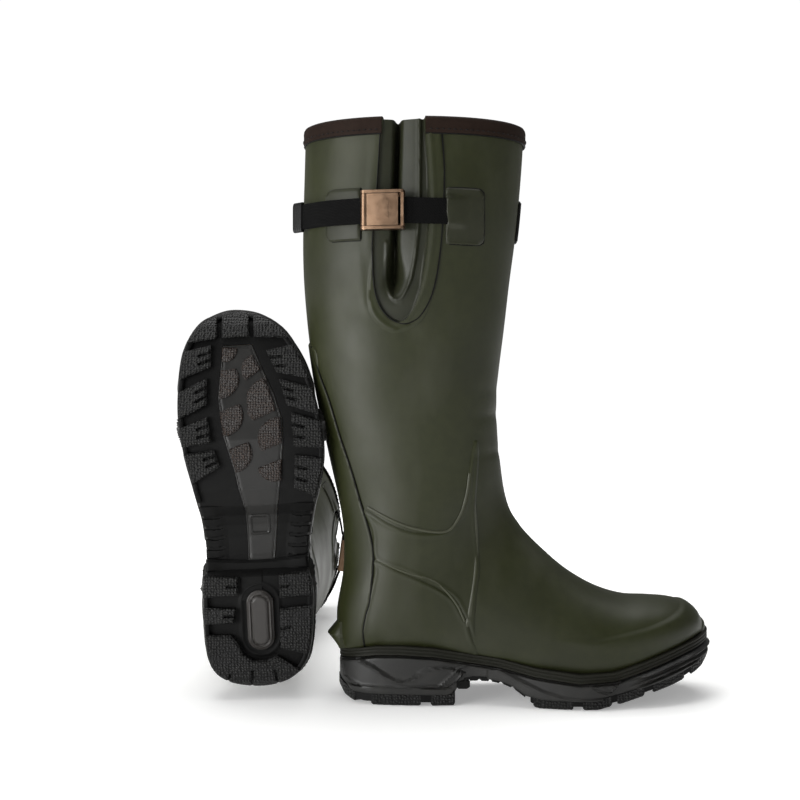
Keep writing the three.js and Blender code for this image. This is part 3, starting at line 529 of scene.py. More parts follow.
class Finish:
    """A material with a Principled shader, and helpers that feed patterns to it."""

    def __init__(self, name, colour, roughness, **settings):
        self.material = bpy.data.materials.new(name)
        self.material.use_nodes = True
        self.tree = self.material.node_tree
        self.shader = self.tree.nodes["Principled BSDF"]
        self.shader.inputs["Base Color"].default_value = colour
        self.shader.inputs["Roughness"].default_value = roughness
        for socket, value in settings.items():
            self.shader.inputs[SOCKETS[socket]].default_value = value
        self.place = self.node("ShaderNodeTexCoord").outputs["Object"]
        self.bump_end = None

    def node(self, kind, **inputs):
        made = self.tree.nodes.new(kind)
        for socket, value in inputs.items():
            made.inputs[socket.replace("_", " ").title()].default_value = value
        return made

    def noise(self, scale, detail=3.0, stretch=(1, 1, 1)):
        mapping = self.node("ShaderNodeMapping")
        mapping.inputs["Scale"].default_value = stretch
        texture = self.node("ShaderNodeTexNoise", scale=scale, detail=detail)
        self.tree.links.new(self.place, mapping.inputs["Vector"])
        self.tree.links.new(mapping.outputs[0], texture.inputs["Vector"])
        return texture.outputs["Fac"]

    def remap(self, value, low, high, to_low, to_high):
        ranged = self.node("ShaderNodeMapRange", from_min=low, from_max=high, to_min=to_low, to_max=to_high)
        self.tree.links.new(value, ranged.inputs["Value"])
        return ranged.outputs[0]

    def tint(self, value, colour, amount, low=0.35, high=0.65):
        """Mixes another colour in where value is high."""
        blend = self.tree.nodes.new("ShaderNodeMix")
        blend.data_type = "RGBA"
        source = self.shader.inputs["Base Color"]
        if source.links:
            self.tree.links.new(source.links[0].from_socket, blend.inputs[6])
        else:
            blend.inputs[6].default_value = source.default_value
        blend.inputs[7].default_value = colour
        self.tree.links.new(self.remap(value, low, high, 0, amount), blend.inputs[0])
        self.tree.links.new(blend.outputs[2], source)

    def roughen(self, value, low, high):
        self.tree.links.new(self.remap(value, 0.3, 0.7, low, high), self.shader.inputs["Roughness"])

    def bump(self, value, strength, distance):
        made = self.node("ShaderNodeBump", strength=strength, distance=distance)
        self.tree.links.new(value, made.inputs["Height"])
        if self.bump_end is not None:
            self.tree.links.new(self.bump_end, made.inputs["Normal"])
        self.bump_end = made.outputs[0]
        self.tree.links.new(self.bump_end, self.shader.inputs["Normal"])

    def weave(self, along, across, size):
        """Height of a plain weave: two sets of waves in the object's own axes."""
        values = []
        for direction in (along, across):
            wave = self.node("ShaderNodeTexWave", scale=size)
            wave.bands_direction = direction
            self.tree.links.new(self.place, wave.inputs["Vector"])
            values.append(wave.outputs["Fac"])
        product = self.node("ShaderNodeMath")
        product.operation = "MULTIPLY"
        self.tree.links.new(values[0], product.inputs[0])
        self.tree.links.new(values[1], product.inputs[1])
        return product.outputs[0]

    def knurl(self, scale):
        """Height of a field of small close knobs."""
        cells = self.node("ShaderNodeTexVoronoi", scale=scale, randomness=0.45)
        self.tree.links.new(self.place, cells.inputs["Vector"])
        return self.remap(cells.outputs["Distance"], 0.1, 0.7, 1, 0)


def rubber(name, colour, bloom, roughness, grain=0.12, gloss=0.35):
    made = Finish(name, colour, roughness, specular_ior_level=gloss)
    made.tint(made.noise(9, 5), bloom, 0.5)
    made.tint(made.noise(140, 2), tuple(c * 0.72 for c in colour[:3]) + (1,), 0.35)
    made.roughen(made.noise(26, 4), roughness - 0.06, roughness + 0.07)
    made.bump(made.noise(60, 3), 0.12, 0.0012)
    made.bump(made.noise(1400, 2), grain, 0.0002)
    return made


upper_rubber = rubber("upper rubber", srgb(35, 38, 16), srgb(43, 46, 26), 0.47, gloss=0.28)
upper_rubber.tint(upper_rubber.noise(19, 6, (1, 1, 0.4)), srgb(60, 61, 49), 0.6, 0.48, 0.72)
upper_rubber.tint(upper_rubber.noise(11, 3), srgb(24, 26, 12), 0.5, 0.5, 0.75)
gusset_rubber = rubber("gusset rubber", srgb(32, 34, 21), srgb(39, 41, 28), 0.44, gloss=0.3)
patch_rubber = rubber("patch rubber", srgb(33, 35, 20), srgb(39, 40, 26), 0.45, gloss=0.28)
badge_rubber = rubber("badge rubber", srgb(7, 7, 6), srgb(10, 10, 9), 0.6, gloss=0.1)
# lighter rubber for the ridge beads: partly wear, partly a painted highlight where the key light catches the
# ridges
worn_highlight_rubber = rubber("worn rubber with painted highlight", srgb(52, 54, 38), srgb(64, 65, 50), 0.45, gloss=0.4)
seam_cement = rubber("seam cement", srgb(7, 7, 6), srgb(9, 9, 8), 0.6, gloss=0.15)
sole_rubber = rubber("sole rubber", srgb(8, 8, 8), srgb(16, 16, 15), 0.58, 0.4, 0.12)
wall_rubber = rubber("sole wall rubber", srgb(20, 20, 18), srgb(34, 33, 31), 0.45, 0.5, 0.4)
wall_rubber.tint(wall_rubber.noise(70, 4), srgb(47, 46, 43), 0.5, 0.5, 0.8)
lug_rubber = rubber("lug rubber", srgb(7, 7, 7), srgb(13, 13, 12), 0.5, 0.3, 0.25)
lug_rubber.tint(lug_rubber.knurl(430), srgb(46, 46, 44), 0.8, 0.4, 0.95)
lug_rubber.bump(lug_rubber.knurl(430), 1.0, 0.0012)
foxing_rubber = rubber("foxing rubber", srgb(24, 24, 18), srgb(31, 31, 24), 0.55, 0.2, 0.15)
sole_centre_rubber = rubber("sole centre rubber", srgb(24, 24, 23), srgb(33, 32, 30), 0.45, 0.25, 0.32)
pad_rubber = rubber("centre pad rubber", srgb(22, 16, 13), srgb(30, 23, 19), 0.45, 0.25, 0.4)
pad_rubber.tint(pad_rubber.knurl(480), srgb(58, 47, 40), 0.8, 0.35, 0.9)
pad_rubber.bump(pad_rubber.knurl(480), 1.0, 0.001)
heel_insert_rubber = rubber("heel insert rubber", srgb(38, 35, 33), srgb(50, 47, 44), 0.42, 0.2, 0.45)
binding_tape = rubber("binding tape", srgb(28, 19, 14), srgb(42, 30, 24), 0.75, 0.5, 0.1)
stitch_thread = Finish("stitch thread", srgb(14, 8, 6), 0.7, specular_ior_level=0.2)
tip_rubber = rubber("strap tip rubber", srgb(7, 7, 7), srgb(10, 10, 10), 0.42, gloss=0.2)
webbing = Finish("webbing", srgb(5, 5, 5), 0.85, specular_ior_level=0.1)
webbing.bump(webbing.weave("Z", "DIAGONAL", 260), 0.6, 0.0003)
webbing.tint(webbing.weave("Z", "DIAGONAL", 260), srgb(14, 14, 13), 0.6, 0.2, 0.8)
metal = Finish("buckle metal", srgb(138, 113, 92), 0.3, metallic=1.0)
metal.roughen(metal.noise(240, 4), 0.28, 0.42)
metal.tint(metal.noise(160, 4), srgb(120, 94, 74), 0.4)
metal.bump(metal.noise(500, 3), 0.12, 0.0002)
neoprene = Finish("neoprene", srgb(40, 41, 37), 0.92, sheen_weight=0.2)
neoprene.bump(neoprene.weave("Z", "X", 300), 0.5, 0.0005)
neoprene.tint(neoprene.noise(30, 4), srgb(50, 51, 46), 0.5)
board_fibre = Finish("insole board", srgb(150, 132, 104), 0.9)
shank_steel = Finish("shank steel", srgb(170, 170, 168), 0.35, metallic=1.0)
foam = Finish("footbed foam", srgb(60, 63, 54), 0.95, sheen_weight=0.2)
foam.bump(foam.noise(700, 3), 0.4, 0.0006)


# ---------------------------------------------------------------- upper

SLIT_INSIDE = np.where(Y < -8, distance_inside(SLIT_LINE, X, Z), -50)


def make_upper():
    shell = skin(-SLIT_INSIDE, 0.0, SHELL_WALL, step=2)
    put("upper_shell", shell, upper_rubber)
    inside = skin(-SLIT_INSIDE - 0.2, -SHELL_WALL - 0.1, LINING_FACE, step=3)
    lining = put("neoprene_lining", inside, neoprene)


def raised(edge, height, ramp, bead=0.0):
    """Height of a panel by the distance from its edge, with a soft bead just inside it."""
    profile = 0.05 + (height - 0.05) * smooth_step(edge, -0.3, ramp)
    return profile + bead * bell(edge, ramp, 0.7 * ramp)


def panel(name, outline, height, ramp, side=0, bead=0.0, fade=1.0):
    """A rubber panel inside a side outline. side is -1 for the outer side, 1 for the inner, 0 for both."""
    edge = distance_inside(smooth_outline(outline), X, Z)
    field = np.minimum(edge, ABOVE_SOLE)
    if side:
        field = np.minimum(field, side * Y - 3)
    lift = raised(edge, height, ramp, bead) * fade
    put(name, skin(field, lift, BEDDED), upper_rubber)


def make_panels():
    panel("backstay", BACKSTAY, PANEL, 0.9)
    for name, side in (("outer", -1), ("inner", 1)):
        panel(f"{name}_heel_counter", COUNTER, 0.6, 1.7, side, 0.55)
        panel(f"{name}_ankle_panel", ANKLE, 0.65, 2.0, side, 0.65)
    panel("toe_rand", TOE_RAND, 1.3, 4.8, fade=smooth_step(X, 168, 204))


TRIM_SEAM = [
    (81.6, 445.8), (83.4, 414), (81.6, 371), (78.6, 342), (73.6, 321), (65.5, 306), (57, 300), (49.5, 299.6),
    (40.5, 304.2), (33.2, 314), (29, 330), (27.7, 358),
]


def make_trim():
    seam = distance_inside(TRIM_LINE, X, Z)
    slit = -distance_inside(SLIT_LINE, X, Z)
    field = np.minimum.reduce([seam, slit, -Y - 12, 446.4 - Z])
    ridge = 1.2 + 2.6 * smooth_step(Z, 300, 345) * smooth_step(X, 44, 60)
    lift = 0.55 + 1.05 * smooth_step(X, 40, 52) * bell(slit, ridge, 1.9)
    lift += 0.45 * smooth_step(slit, ridge + 1.5, ridge + 4)
    soft = 1 + 2.2 * smooth_step(-X, -66, -52)
    lift += 0.5 * bell(seam, 2.6, 1.4) * smooth_step(-X, -72, -58)
    lift = 0.05 + lift * smooth_step(seam, -0.3, soft)
    lift -= 0.55 * bell(distance_to_line(TRIM_SEAM, X, Z), 0, 1.0) * smooth_step(seam, 0.6, 1.6)
    put("gusset_trim", skin(field, lift, BEDDED), upper_rubber)


def rounded_block(x, z, x0, x1, z0, z1, radius):
    """Distance to a rounded rectangle, positive inside."""
    dx = np.abs(x - (x0 + x1) / 2) - (x1 - x0) / 2 + radius
    dz = np.abs(z - (z0 + z1) / 2) - (z1 - z0) / 2 + radius
    outside = np.hypot(np.maximum(dx, 0), np.maximum(dz, 0))
    return radius - outside - np.minimum(np.maximum(dx, dz), 0)


def make_patches():
    """The two strap patches. Each has round corners away from the slit and square ones beside it."""
    x0, x1, z0, z1 = FRONT_PATCH
    edge = np.minimum(rounded_block(X, Z, x0 - 12, x1, z0, z1, 6.0), X - x0 + 0.4)
    under = rounded_block(X, Z, x0 - 12, 103, 375.2, 396.8, 2)
    lift = raised(edge, 1.5, 0.9, 0.15) + 2.0 * smooth_step(under, -2.0, 0.8) * smooth_step(-X, -104, -86)
    field = np.minimum(edge, -Y - 10)
    put("front_patch", skin(field, lift, BEDDED), patch_rubber)
    x0, x1, z0, z1 = REAR_PATCH
    edge = np.minimum(rounded_block(X, Z, x0, x1 + 12, z0, z1, 6.0), x1 - X)
    field = np.minimum(edge, -Y - 10)
    put("rear_patch", skin(field, raised(edge, 1.5, 0.8, 0.12), BEDDED), patch_rubber)


def make_badge():
    edge = np.where(X > 100, rounded_block(Y, Z, -9, 9, 368, 402, 5.0), -10)
    lift = raised(edge, 2.3, 1.1) - 0.45 * smooth_step(edge, 1.9, 2.4)
    put("front_badge", skin(edge, lift, BEDDED), badge_rubber)


def make_spur():
    """The ledge behind the heel that the other boot pushes on."""
    rings = []
    for z in np.concatenate([np.linspace(40.8, 50.4, 8), [51], np.linspace(51.7, 62, 8)]):
        reach = SPUR_REST[0] * min((z - 39.8) / 11.2, (63 - z) / 12.0) + 0.4
        ring = []
        for y in np.linspace(-21, 21, 33):
            ring.append([0.8 - reach * (1 - abs(y / 21) ** 2.6) ** 0.6, y, z])
        for y in np.linspace(21, -21, 17):
            ring.append([9 - 6 * (1 - abs(y / 21)), y * 0.98, z])
        rings.append(np.array(ring))
    put("kick_spur", loft(rings, closed=False), upper_rubber, sharp=25)


# ---------------------------------------------------------------- seams

OCTAGON = np.radians(np.arange(0, 360, 45))


def on_surface(line, side):
    """Points and normals of the surface under a line drawn on the boot's side view."""
    pick = Y * side > 0
    near_x, near_y, near_z, near_n = X[pick], Y[pick], Z[pick], NORMALS[pick]
    points, normals = [], []
    for x, z in line:
        k = int(np.argmin((near_x - x) ** 2 + (near_z - z) ** 2))
        n = near_n[k] / np.linalg.norm(near_n[k])
        dx, dz = x - near_x[k], z - near_z[k]
        flat = abs(n[1]) > 0.35 and math.hypot(dx, dz) < 3
        y = near_y[k] - (n[0] * dx + n[2] * dz) / n[1] if flat else near_y[k]
        points.append([x, y, z] if flat else [near_x[k], near_y[k], near_z[k]])
        normals.append(n)
    return np.array(points), np.array(normals)


def bead_on(line, side, lift, half_width=0.5, height=0.22):
    """A thin bead along a side-view line."""
    path = catmull(line, 6)
    points, normals = on_surface(path, side)
    along = np.gradient(points, axis=0)
    along /= np.maximum(np.linalg.norm(along, axis=1, keepdims=True), 1e-9)
    across = np.cross(along, normals)
    rings = []
    for point, normal, wide in zip(points, normals, across):
        ring = [point + wide * half_width * math.cos(a) + normal * (lift + height * math.sin(a))
                for a in OCTAGON]
        rings.append(np.array(ring))
    return loft(rings, closed=False)


def make_ridges():
    """The soft ridges over the ankle, the heel counter and the instep, in a lighter colour that is partly wear
    and partly a painted highlight.
    """
    over_ankle = [
        (24, 155), (45.3, 144.5), (64.9, 138.2), (86, 136.6), (96.2, 148.4), (101.7, 165.6), (104, 182),
    ]
    over_counter = [(31, 114.5), (53.1, 104.9), (76.6, 97.1), (92.3, 81.4), (100.1, 66)]
    instep = [(107.2, 160), (109.6, 130.4), (109.2, 106.9), (105.8, 83.4), (101.7, 62)]
    parts = []
    for side in (-1, 1):
        parts.append(bead_on(over_ankle, side, 0.55, 1.1, 0.75))
        parts.append(bead_on(over_counter, side, 0.55, 1.1, 0.75))
        parts.append(bead_on(instep, side, 0.3, 1.7, 0.8))
    # the beads' lighter colour paints a highlight along the ridges, together with some wear
    put("worn_highlight_ridges", joined(parts), worn_highlight_rubber, sharp=60, replaces=False)


def make_seams():
    """Dark lines of cement along the seams."""
    backstay = [p for p in BACKSTAY if 46 > p[0] > -30 and p[1] > 43]
    parts = []
    for side in (-1, 1):
        parts.append(bead_on(backstay, side, PANEL - 0.35, 0.6, 0.5))
    parts.append(bead_on(TRIM_SEAM, -1, 0.75, 0.55, 0.45))
    slit = [(33.8, 445.8), (32, 414), (30.3, 392), (28.2, 368), (27.7, 356)]
    parts.append(bead_on(slit, -1, 0.8, 0.5, 0.5))
    x0, x1, z0, z1 = FRONT_PATCH
    edge = [(x0 + 2, z1 + 0.2), (x1 - 6, z1 + 0.2), (x1 - 1.4, z1 - 1.5), (x1 + 0.2, z1 - 6)]
    edge += [(x, z0 + z1 - z) for x, z in edge[::-1]]
    parts.append(bead_on(edge, -1, 0.05, 0.45, 0.3))
    x0, x1, z0, z1 = REAR_PATCH
    slit_side = [(x1 + 0.2, z0 + 0.5), (x1 + 0.2, (z0 + z1) / 2), (x1 + 0.2, z1 - 0.5)]
    parts.append(bead_on(slit_side, -1, 0.5, 0.5, 0.9))
    under = [(x0 + 5, z0 - 0.2), ((x0 + x1) / 2, z0 - 0.2), (x1, z0 - 0.2)]
    parts.append(bead_on(under, -1, 0.05, 0.45, 0.35))
    put("seam_lines", joined(parts), seam_cement, replaces=False)


# ---------------------------------------------------------------- bellows and binding

def outer_table():
    """Where the outer side of the calf lies, as columns of x against rows of the surface."""
    xs = np.arange(20, 92.01, 0.5)
    rows = np.nonzero(Z[:, HALF:].max(axis=1) > 285)[0]
    table_y, table_z = [], []
    for row in rows:
        order = np.argsort(X[row, HALF:])
        table_y.append(np.interp(xs, X[row, HALF:][order], Y[row, HALF:][order]))
        table_z.append(np.interp(xs, X[row, HALF:][order], Z[row, HALF:][order]))
    return xs, np.array(table_y)[::-1], np.array(table_z)[::-1]


CALF_X, CALF_Y, CALF_Z = outer_table()


def outer_y(x, z):
    out = np.empty(np.shape(x))
    for index in np.ndindex(out.shape):
        place = np.clip((x[index] - CALF_X[0]) / 0.5, 0, len(CALF_X) - 1.001)
        k = int(place)
        near = np.interp(z[index], CALF_Z[:, k], CALF_Y[:, k])
        far = np.interp(z[index], CALF_Z[:, k + 1], CALF_Y[:, k + 1])
        out[index] = near + (far - near) * (place - k)
    return out


def slit_edges(z):
    """x of the slit's rear and front edge at a height."""
    outline = np.array(SLIT, float)
    low = int(np.argmin(outline[:, 1]))
    rear, front = outline[:low + 1][::-1], outline[low:]
    return np.interp(z, rear[:, 1], rear[:, 0]), np.interp(z, front[:, 1], front[:, 0])


FOLD = [(44.3, 318), (44.3, 335), (45.5, 380), (46.6, 420), (47.6, 458)]
INNER_RIDGE = catmull([
    (64, 462), (64.2, 440), (64, 400), (62.8, 370), (60.6, 350), (57.4, 334), (52.6, 322.5), (47.5, 318),
    (42.6, 321), (39.4, 331), (38.6, 348), (39, 362),
], 5)


def make_gusset():
    levels = np.concatenate([np.linspace(301.6, 330, 36), np.linspace(331, 457.6, 100)])
    rear, front = slit_edges(levels)
    rear, front = rear - 0.9, front + 0.9
    share = np.linspace(0, 1, 61)
    x = rear[:, None] + (front - rear)[:, None] * share
    z = np.repeat(levels[:, None], len(share), axis=1)
    fold = np.interp(z, [p[1] for p in FOLD], [p[0] for p in FOLD])
    away = np.abs(x - fold)
    edge = np.minimum(x - rear[:, None], front[:, None] - x)
    inner = np.interp(z, [318, 334, 350, 370, 400, 440, 462], [50, 57.4, 60.6, 62.8, 64, 64.2, 64])
    front_panel = 1.2 + 6.0 * np.clip((inner - x) / np.maximum(inner - fold, 1), 0, 1) ** 1.3
    rear_panel = 1.6 + 4.5 * np.clip((x - rear[:, None]) / np.maximum(fold - rear[:, None], 1), 0, 1) ** 1.5
    channel = 1.0 + 2.2 * smooth_step(x, inner, inner + 2.5) * smooth_step(front[:, None] - x, 0, 2.5)
    depth = np.where(x > inner, channel, np.where(x > fold, front_panel, rear_panel))
    depth = 1.9 + (depth - 1.9) * smooth_step(z, 312, 335)
    narrow = 2.1 + 2.7 * bell(z, 335, 15)
    depth += 14 * bell(away, 0, narrow) * smooth_step(z, 319, 340)
    ridge = distance_to_line(INNER_RIDGE, x, z)
    depth -= 1.3 * bell(ridge, 0, 1.5) * smooth_step(-z, -372, -360) * (x <= fold)
    depth -= 1.3 * bell(ridge, 0, 1.5) * (x > fold)
    depth = np.maximum(depth, 0.15)
    depth = 1.5 + (depth - 1.5) * smooth_step(edge, 0, 1.6)
    outside = np.stack([x, outer_y(x, z) + depth, z], 2)
    inside = outside + np.array([0, 1.3, 0])
    verts, faces = clip_grid(np.ones(x.shape), list(range(x.shape[0])), list(range(x.shape[1])))
    gusset = solid_between(mix(outside, verts), mix(inside, verts), faces)
    put("gusset", gusset, gusset_rubber)


def rim_walk():
    """The rim from the slit's front edge round the boot to its rear edge: points and outward directions."""
    row = int(np.argmin(np.abs(Z[:, 0] - 452)))
    ring = BARE[row]
    rear, front = slit_edges(np.array([456.0]))
    outer = np.arange(HALF, 2 * HALF)
    order = outer[np.argsort(X[row, outer])]
    start = np.interp(front[0] + 0.7, X[row, order], order)
    stop = np.interp(rear[0] - 0.7, X[row, order], order)
    places = np.linspace(start, stop + (2 * HALF if stop < start else 0), 420)
    low = np.floor(places).astype(int)
    t = (places - low)[:, None]
    points = ring[low % (2 * HALF)] * (1 - t) + ring[(low + 1) % (2 * HALF)] * t
    along = np.gradient(points, axis=0)
    outward = np.stack([along[:, 1], -along[:, 0]], 1)
    outward /= np.linalg.norm(outward, axis=1, keepdims=True)
    centre = ring.mean(axis=0)[:2]
    if ((points[:, :2] - centre) * outward).sum() < 0:
        outward = -outward
    return points, outward


BINDING_PROFILE = [
    (0.1, 446.5), (1.3, 446.6), (1.75, 447.6), (1.85, 450), (1.75, 453), (1.85, 456), (1.5, 458), (0.7, 459.3),
    (-0.8, 460), (-3.8, 460.1), (-6.8, 459.9), (-8.2, 459), (-8.9, 457.4), (-9.1, 453), (-9, 447.6),
    (-8.6, 446.6), (-7.6, 446.5), (-7.5, 452), (-7.2, 457.6), (-3.8, 457.9), (-0.2, 457.6), (0, 452),
]


def make_binding():
    points, outward = rim_walk()
    profile = np.array(BINDING_PROFILE)
    wobble = 0.16 * np.sin(np.arange(len(points)) / 3.1) + 0.12 * np.sin(np.arange(len(points)) / 1.3 + 1)
    rings = []
    for point, direction, lift in zip(points, outward, wobble):
        ring = np.empty((len(profile), 3))
        ring[:, :2] = point[:2] + direction * (profile[:, :1] + 0.25 * lift * (profile[:, :1] > 1))
        ring[:, 2] = profile[:, 1] + np.where(profile[:, 1] < 447.7, 0.6 * lift, 0.0)
        rings.append(ring)
    put("top_binding", loft(rings, closed=False), binding_tape)
    make_stitches(points, outward)
    rings = []
    for point, direction in zip(points, outward):
        ring = [[*(point[:2] + direction * (1.1 + 0.7 * math.cos(a))), 446.2 + 0.55 * math.sin(a)]
                for a in OCTAGON]
        rings.append(np.array(ring))
    put("binding_seam", loft(rings, closed=False), seam_cement, replaces=False)


def make_stitches(points, outward):
    """Short stitches near the lower edge of the binding."""
    walked = np.concatenate([[0], np.cumsum(np.linalg.norm(np.diff(points[:, :2], axis=0), axis=1))])
    parts = []
    for start in np.arange(3, walked[-1] - 5, 4.6):
        rings = []
        for share in np.linspace(0, 1, 6):
            at = start + 2.9 * share
            here = np.array([np.interp(at, walked, points[:, k]) for k in range(2)])
            out = np.array([np.interp(at, walked, outward[:, k]) for k in range(2)])
            bow = 0.45 * math.sin(math.pi * share)
            ring = []
            for angle in np.linspace(0, 2 * math.pi, 8, endpoint=False):
                spread = 0.5 * (0.35 + 0.65 * math.sin(math.pi * max(min(share, 0.98), 0.02)))
                lift = 1.75 + bow + spread * math.cos(angle)
                ring.append([*(here + out * lift), 449.6 + spread * math.sin(angle)])
            rings.append(np.array(ring))
        parts.append(loft(rings, closed=False))
    put("binding_stitches", joined(parts), stitch_thread, replaces=False)


# ---------------------------------------------------------------- strap and buckle

def oval_height(u):
    return (1 - abs(u) ** ROUNDNESS) ** (1 / ROUNDNESS)


def calf_curve(x, off):
    centre, half_length, half_width = CALF
    return x, -(half_width + off) * oval_height((x - centre) / (half_length + off))


BUCKLE_Y = calf_curve(BUCKLE_X, 2.2)[1]


def from_buckle(points):
    """Points of the buckle's frame (along, out from the boot, up) in the boot's frame."""
    pts = np.asarray(points, float)
    c, s = math.cos(-BUCKLE_TURN), math.sin(-BUCKLE_TURN)
    along, out = pts[..., 0], -pts[..., 1]
    x = BUCKLE_X + c * along - s * out
    y = BUCKLE_Y + s * along + c * out
    return np.stack([x, y, STRAP_Z + pts[..., 2]], -1)


STRAP_STEPS = 14


def ribbon(line, width, wall):
    """A band of webbing that follows a line seen from above, with rounded edges."""
    path = catmull(line, STRAP_STEPS)
    along = np.gradient(path, axis=0)
    along /= np.linalg.norm(along, axis=1, keepdims=True)
    across = np.stack([along[:, 1], -along[:, 0]], 1)
    half_width, half_wall = width / 2, wall / 2
    section = []
    for u in np.linspace(-1, 1, 15):
        section.append((half_wall * (1 - 0.5 * abs(u) ** 8), half_width * u))
    for u in np.linspace(1, -1, 15):
        section.append((-half_wall * (1 - 0.5 * abs(u) ** 8), half_width * u))
    rings = []
    for point, side in zip(path, across):
        rings.append(np.array([[*(point + side * n), STRAP_Z + w] for n, w in section]))
    return loft(rings, closed=False)


PIN_RADIUS = 1.5
STRAP_LIFT = 2.55
PIN_OUT = 6.9
PIN_ALONG = -13.6


def plan_bar(outline, z0, z1, bevel=0.35, segments=3):
    """An outline (along, out) carried up from z0 to z1 with rounded edges, in the buckle's frame."""
    mesh = bmesh.new()
    low = [mesh.verts.new((a, b, z0)) for a, b in outline]
    high = [mesh.verts.new((a, b, z1)) for a, b in outline]
    mesh.faces.new(low[::-1])
    mesh.faces.new(high)
    for k in range(len(outline)):
        after = (k + 1) % len(outline)
        mesh.faces.new((low[k], low[after], high[after], high[k]))
    sharp = [e for e in mesh.edges if e.calc_face_angle(0) > math.radians(25)]
    bmesh.ops.bevel(mesh, geom=sharp, offset=bevel, segments=segments, affect="EDGES", clamp_overlap=True)
    mesh.verts.index_update()
    points = np.array([v.co[:] for v in mesh.verts])
    faces = [[v.index for v in f.verts] for f in mesh.faces]
    mesh.free()
    return facing_out(points, faces)


def in_boot(part):
    points, faces = part
    return facing_out(from_buckle(points), faces)


def arc(centre, radius, start, stop, steps):
    angles = np.radians(np.linspace(start, stop, steps))
    return [(centre[0] + radius * math.cos(a), centre[1] + radius * math.sin(a)) for a in angles]


def make_buckle():
    half, tall = BUCKLE_LENGTH / 2, BUCKLE_HEIGHT / 2
    base = plan_bar([(-half, 0), (half, 0), (half, BASE_WALL), (-half, BASE_WALL)], -tall, tall, 0.3)
    rail_side = [(-half, 0), (half, 0)] + arc((half - 2.2, BUCKLE_DEPTH - 2.2), 2.2, 0, 90, 6)
    rail_side += arc((-half + 3.4, BUCKLE_DEPTH - 3.4), 3.4, 90, 180, 8)
    rails = [plan_bar(rail_side, z0, z0 + FLANGE_WALL, 0.7, 4) for z0 in (-tall, tall - FLANGE_WALL)]
    bridge_side = [(half - 2.4, 3.9), (half - 0.1, 3.9), (half - 0.1, 7.6), (half - 2.4, 7.6)]
    bridge = plan_bar(bridge_side, -tall + 1, tall - 1, 0.5)
    shape = joined([in_boot(part) for part in (base, *rails, bridge)])
    put("buckle_frame", shape, metal, sharp=40)

    turn = arc((PIN_ALONG, PIN_OUT), PIN_RADIUS, 0, 345, 24)
    pin = plan_bar(turn, -tall - 0.35, tall + 0.35, 0.4)
    put("buckle_pin", in_boot(pin), metal, sharp=40)

    high = tall - FLANGE_WALL - CLEARANCE
    end, out = -half + BUCKLE_LENGTH - 4.2, PIN_OUT + BARREL_RADIUS - 0.9
    share = np.linspace(0, 1, 15)
    face = [(PIN_ALONG + (end - PIN_ALONG) * u, out + 0.5 * math.sin(math.pi * u)) for u in share]
    back = [(a, b - LEVER_WALL) for a, b in face[::-1]]
    plate = plan_bar(face + back, -high, high, 0.5, 3)
    barrel = plan_bar(arc((PIN_ALONG, PIN_OUT), BARREL_RADIUS, 0, 350, 36), -high, high, 0.5, 3)
    inner = [(a, b + 0.4) for a, b in face[5:-4]]
    raised_field = plan_bar(inner + [(a, b - 1.1) for a, b in inner[::-1]], -high + 5.5, high - 5.5, 0.3, 2)
    lever = joined([in_boot(part) for part in (plate, barrel, raised_field)])
    put("buckle_lever", lever, metal, body="lever", sharp=40)


def buckle_plan(along, out):
    return tuple(from_buckle([along, out, 0])[:2])


TAIL_ROOT = buckle_plan(-BUCKLE_LENGTH / 2 - 0.6, STRAP_LIFT)
TAIL_LIFT = 4.6
TAILS = {
    "right": [TAIL_ROOT, *[calf_curve(x, TAIL_LIFT) for x in (12, 5, -2, -9, -15)], (-23, -31), (-30, -24)],
    "left": [TAIL_ROOT, *[calf_curve(x, TAIL_LIFT) for x in (12, 5, -2, -9, -14)]],
}


def make_straps():
    front = [
        buckle_plan(-BUCKLE_LENGTH / 2, STRAP_LIFT), buckle_plan(0, STRAP_LIFT),
        buckle_plan(BUCKLE_LENGTH / 2, STRAP_LIFT),
        calf_curve(60, 4.4), calf_curve(67, 3.8), calf_curve(75, 3.1), calf_curve(83, 2.3), calf_curve(88, 1.5),
    ]
    put("strap_front", ribbon(front, STRAP_WIDTH, STRAP_WALL), webbing)
    anchor_line = [calf_curve(x, 2.4) for x in (-7, -1, 6, 12, 17.6, 21)]
    put("buckle_anchor", ribbon(anchor_line, STRAP_WIDTH - 2, 1.1), webbing)
    for side in SIDES:
        tail = ribbon(TAILS[side], STRAP_WIDTH, STRAP_WALL)
        put("strap_tail", tail, webbing, body="tail", only=side)
        put("strap_tip", tip_shape(TAILS[side]), tip_rubber, body="tail", only=side)


def tip_shape(line):
    """The moulded end of the strap, with ridges across it."""
    path = catmull(line, STRAP_STEPS)
    end = path[-1]
    along = path[-1] - path[-3]
    along /= np.linalg.norm(along)
    across = np.array([along[1], -along[0]])
    rings = []
    for place in np.linspace(-2.5, 9, 47):
        ends = max(0.0, (place - 6.8) / 2.2)
        swell = math.sqrt(max(1 - ends ** 2, 0.03))
        ridge = 0.28 * math.cos(place * 2 * math.pi / 2.4) if place < 7 else 0
        half_wall = (1.55 + ridge) * (0.55 + 0.45 * swell) * (0.75 if place < -2 else 1)
        half_width = STRAP_WIDTH / 2 + 2 - 2.2 * (1 - swell)
        ring = []
        for angle in np.linspace(0, 2 * math.pi, 36, endpoint=False):
            c, s = math.cos(angle), math.sin(angle)
            n = half_wall * math.copysign(abs(c) ** 0.5, c)
            w = half_width * math.copysign(abs(s) ** 0.25, s)
            ring.append([*(end + along * place + across * n), STRAP_Z + w])
        rings.append(np.array(ring))
    return loft(rings, closed=False)


# ---------------------------------------------------------------- sole

EDGE = catmull(SOLE_EDGE, 16, closed=True)
EDGE_LINE = [tuple(p) for p in EDGE]

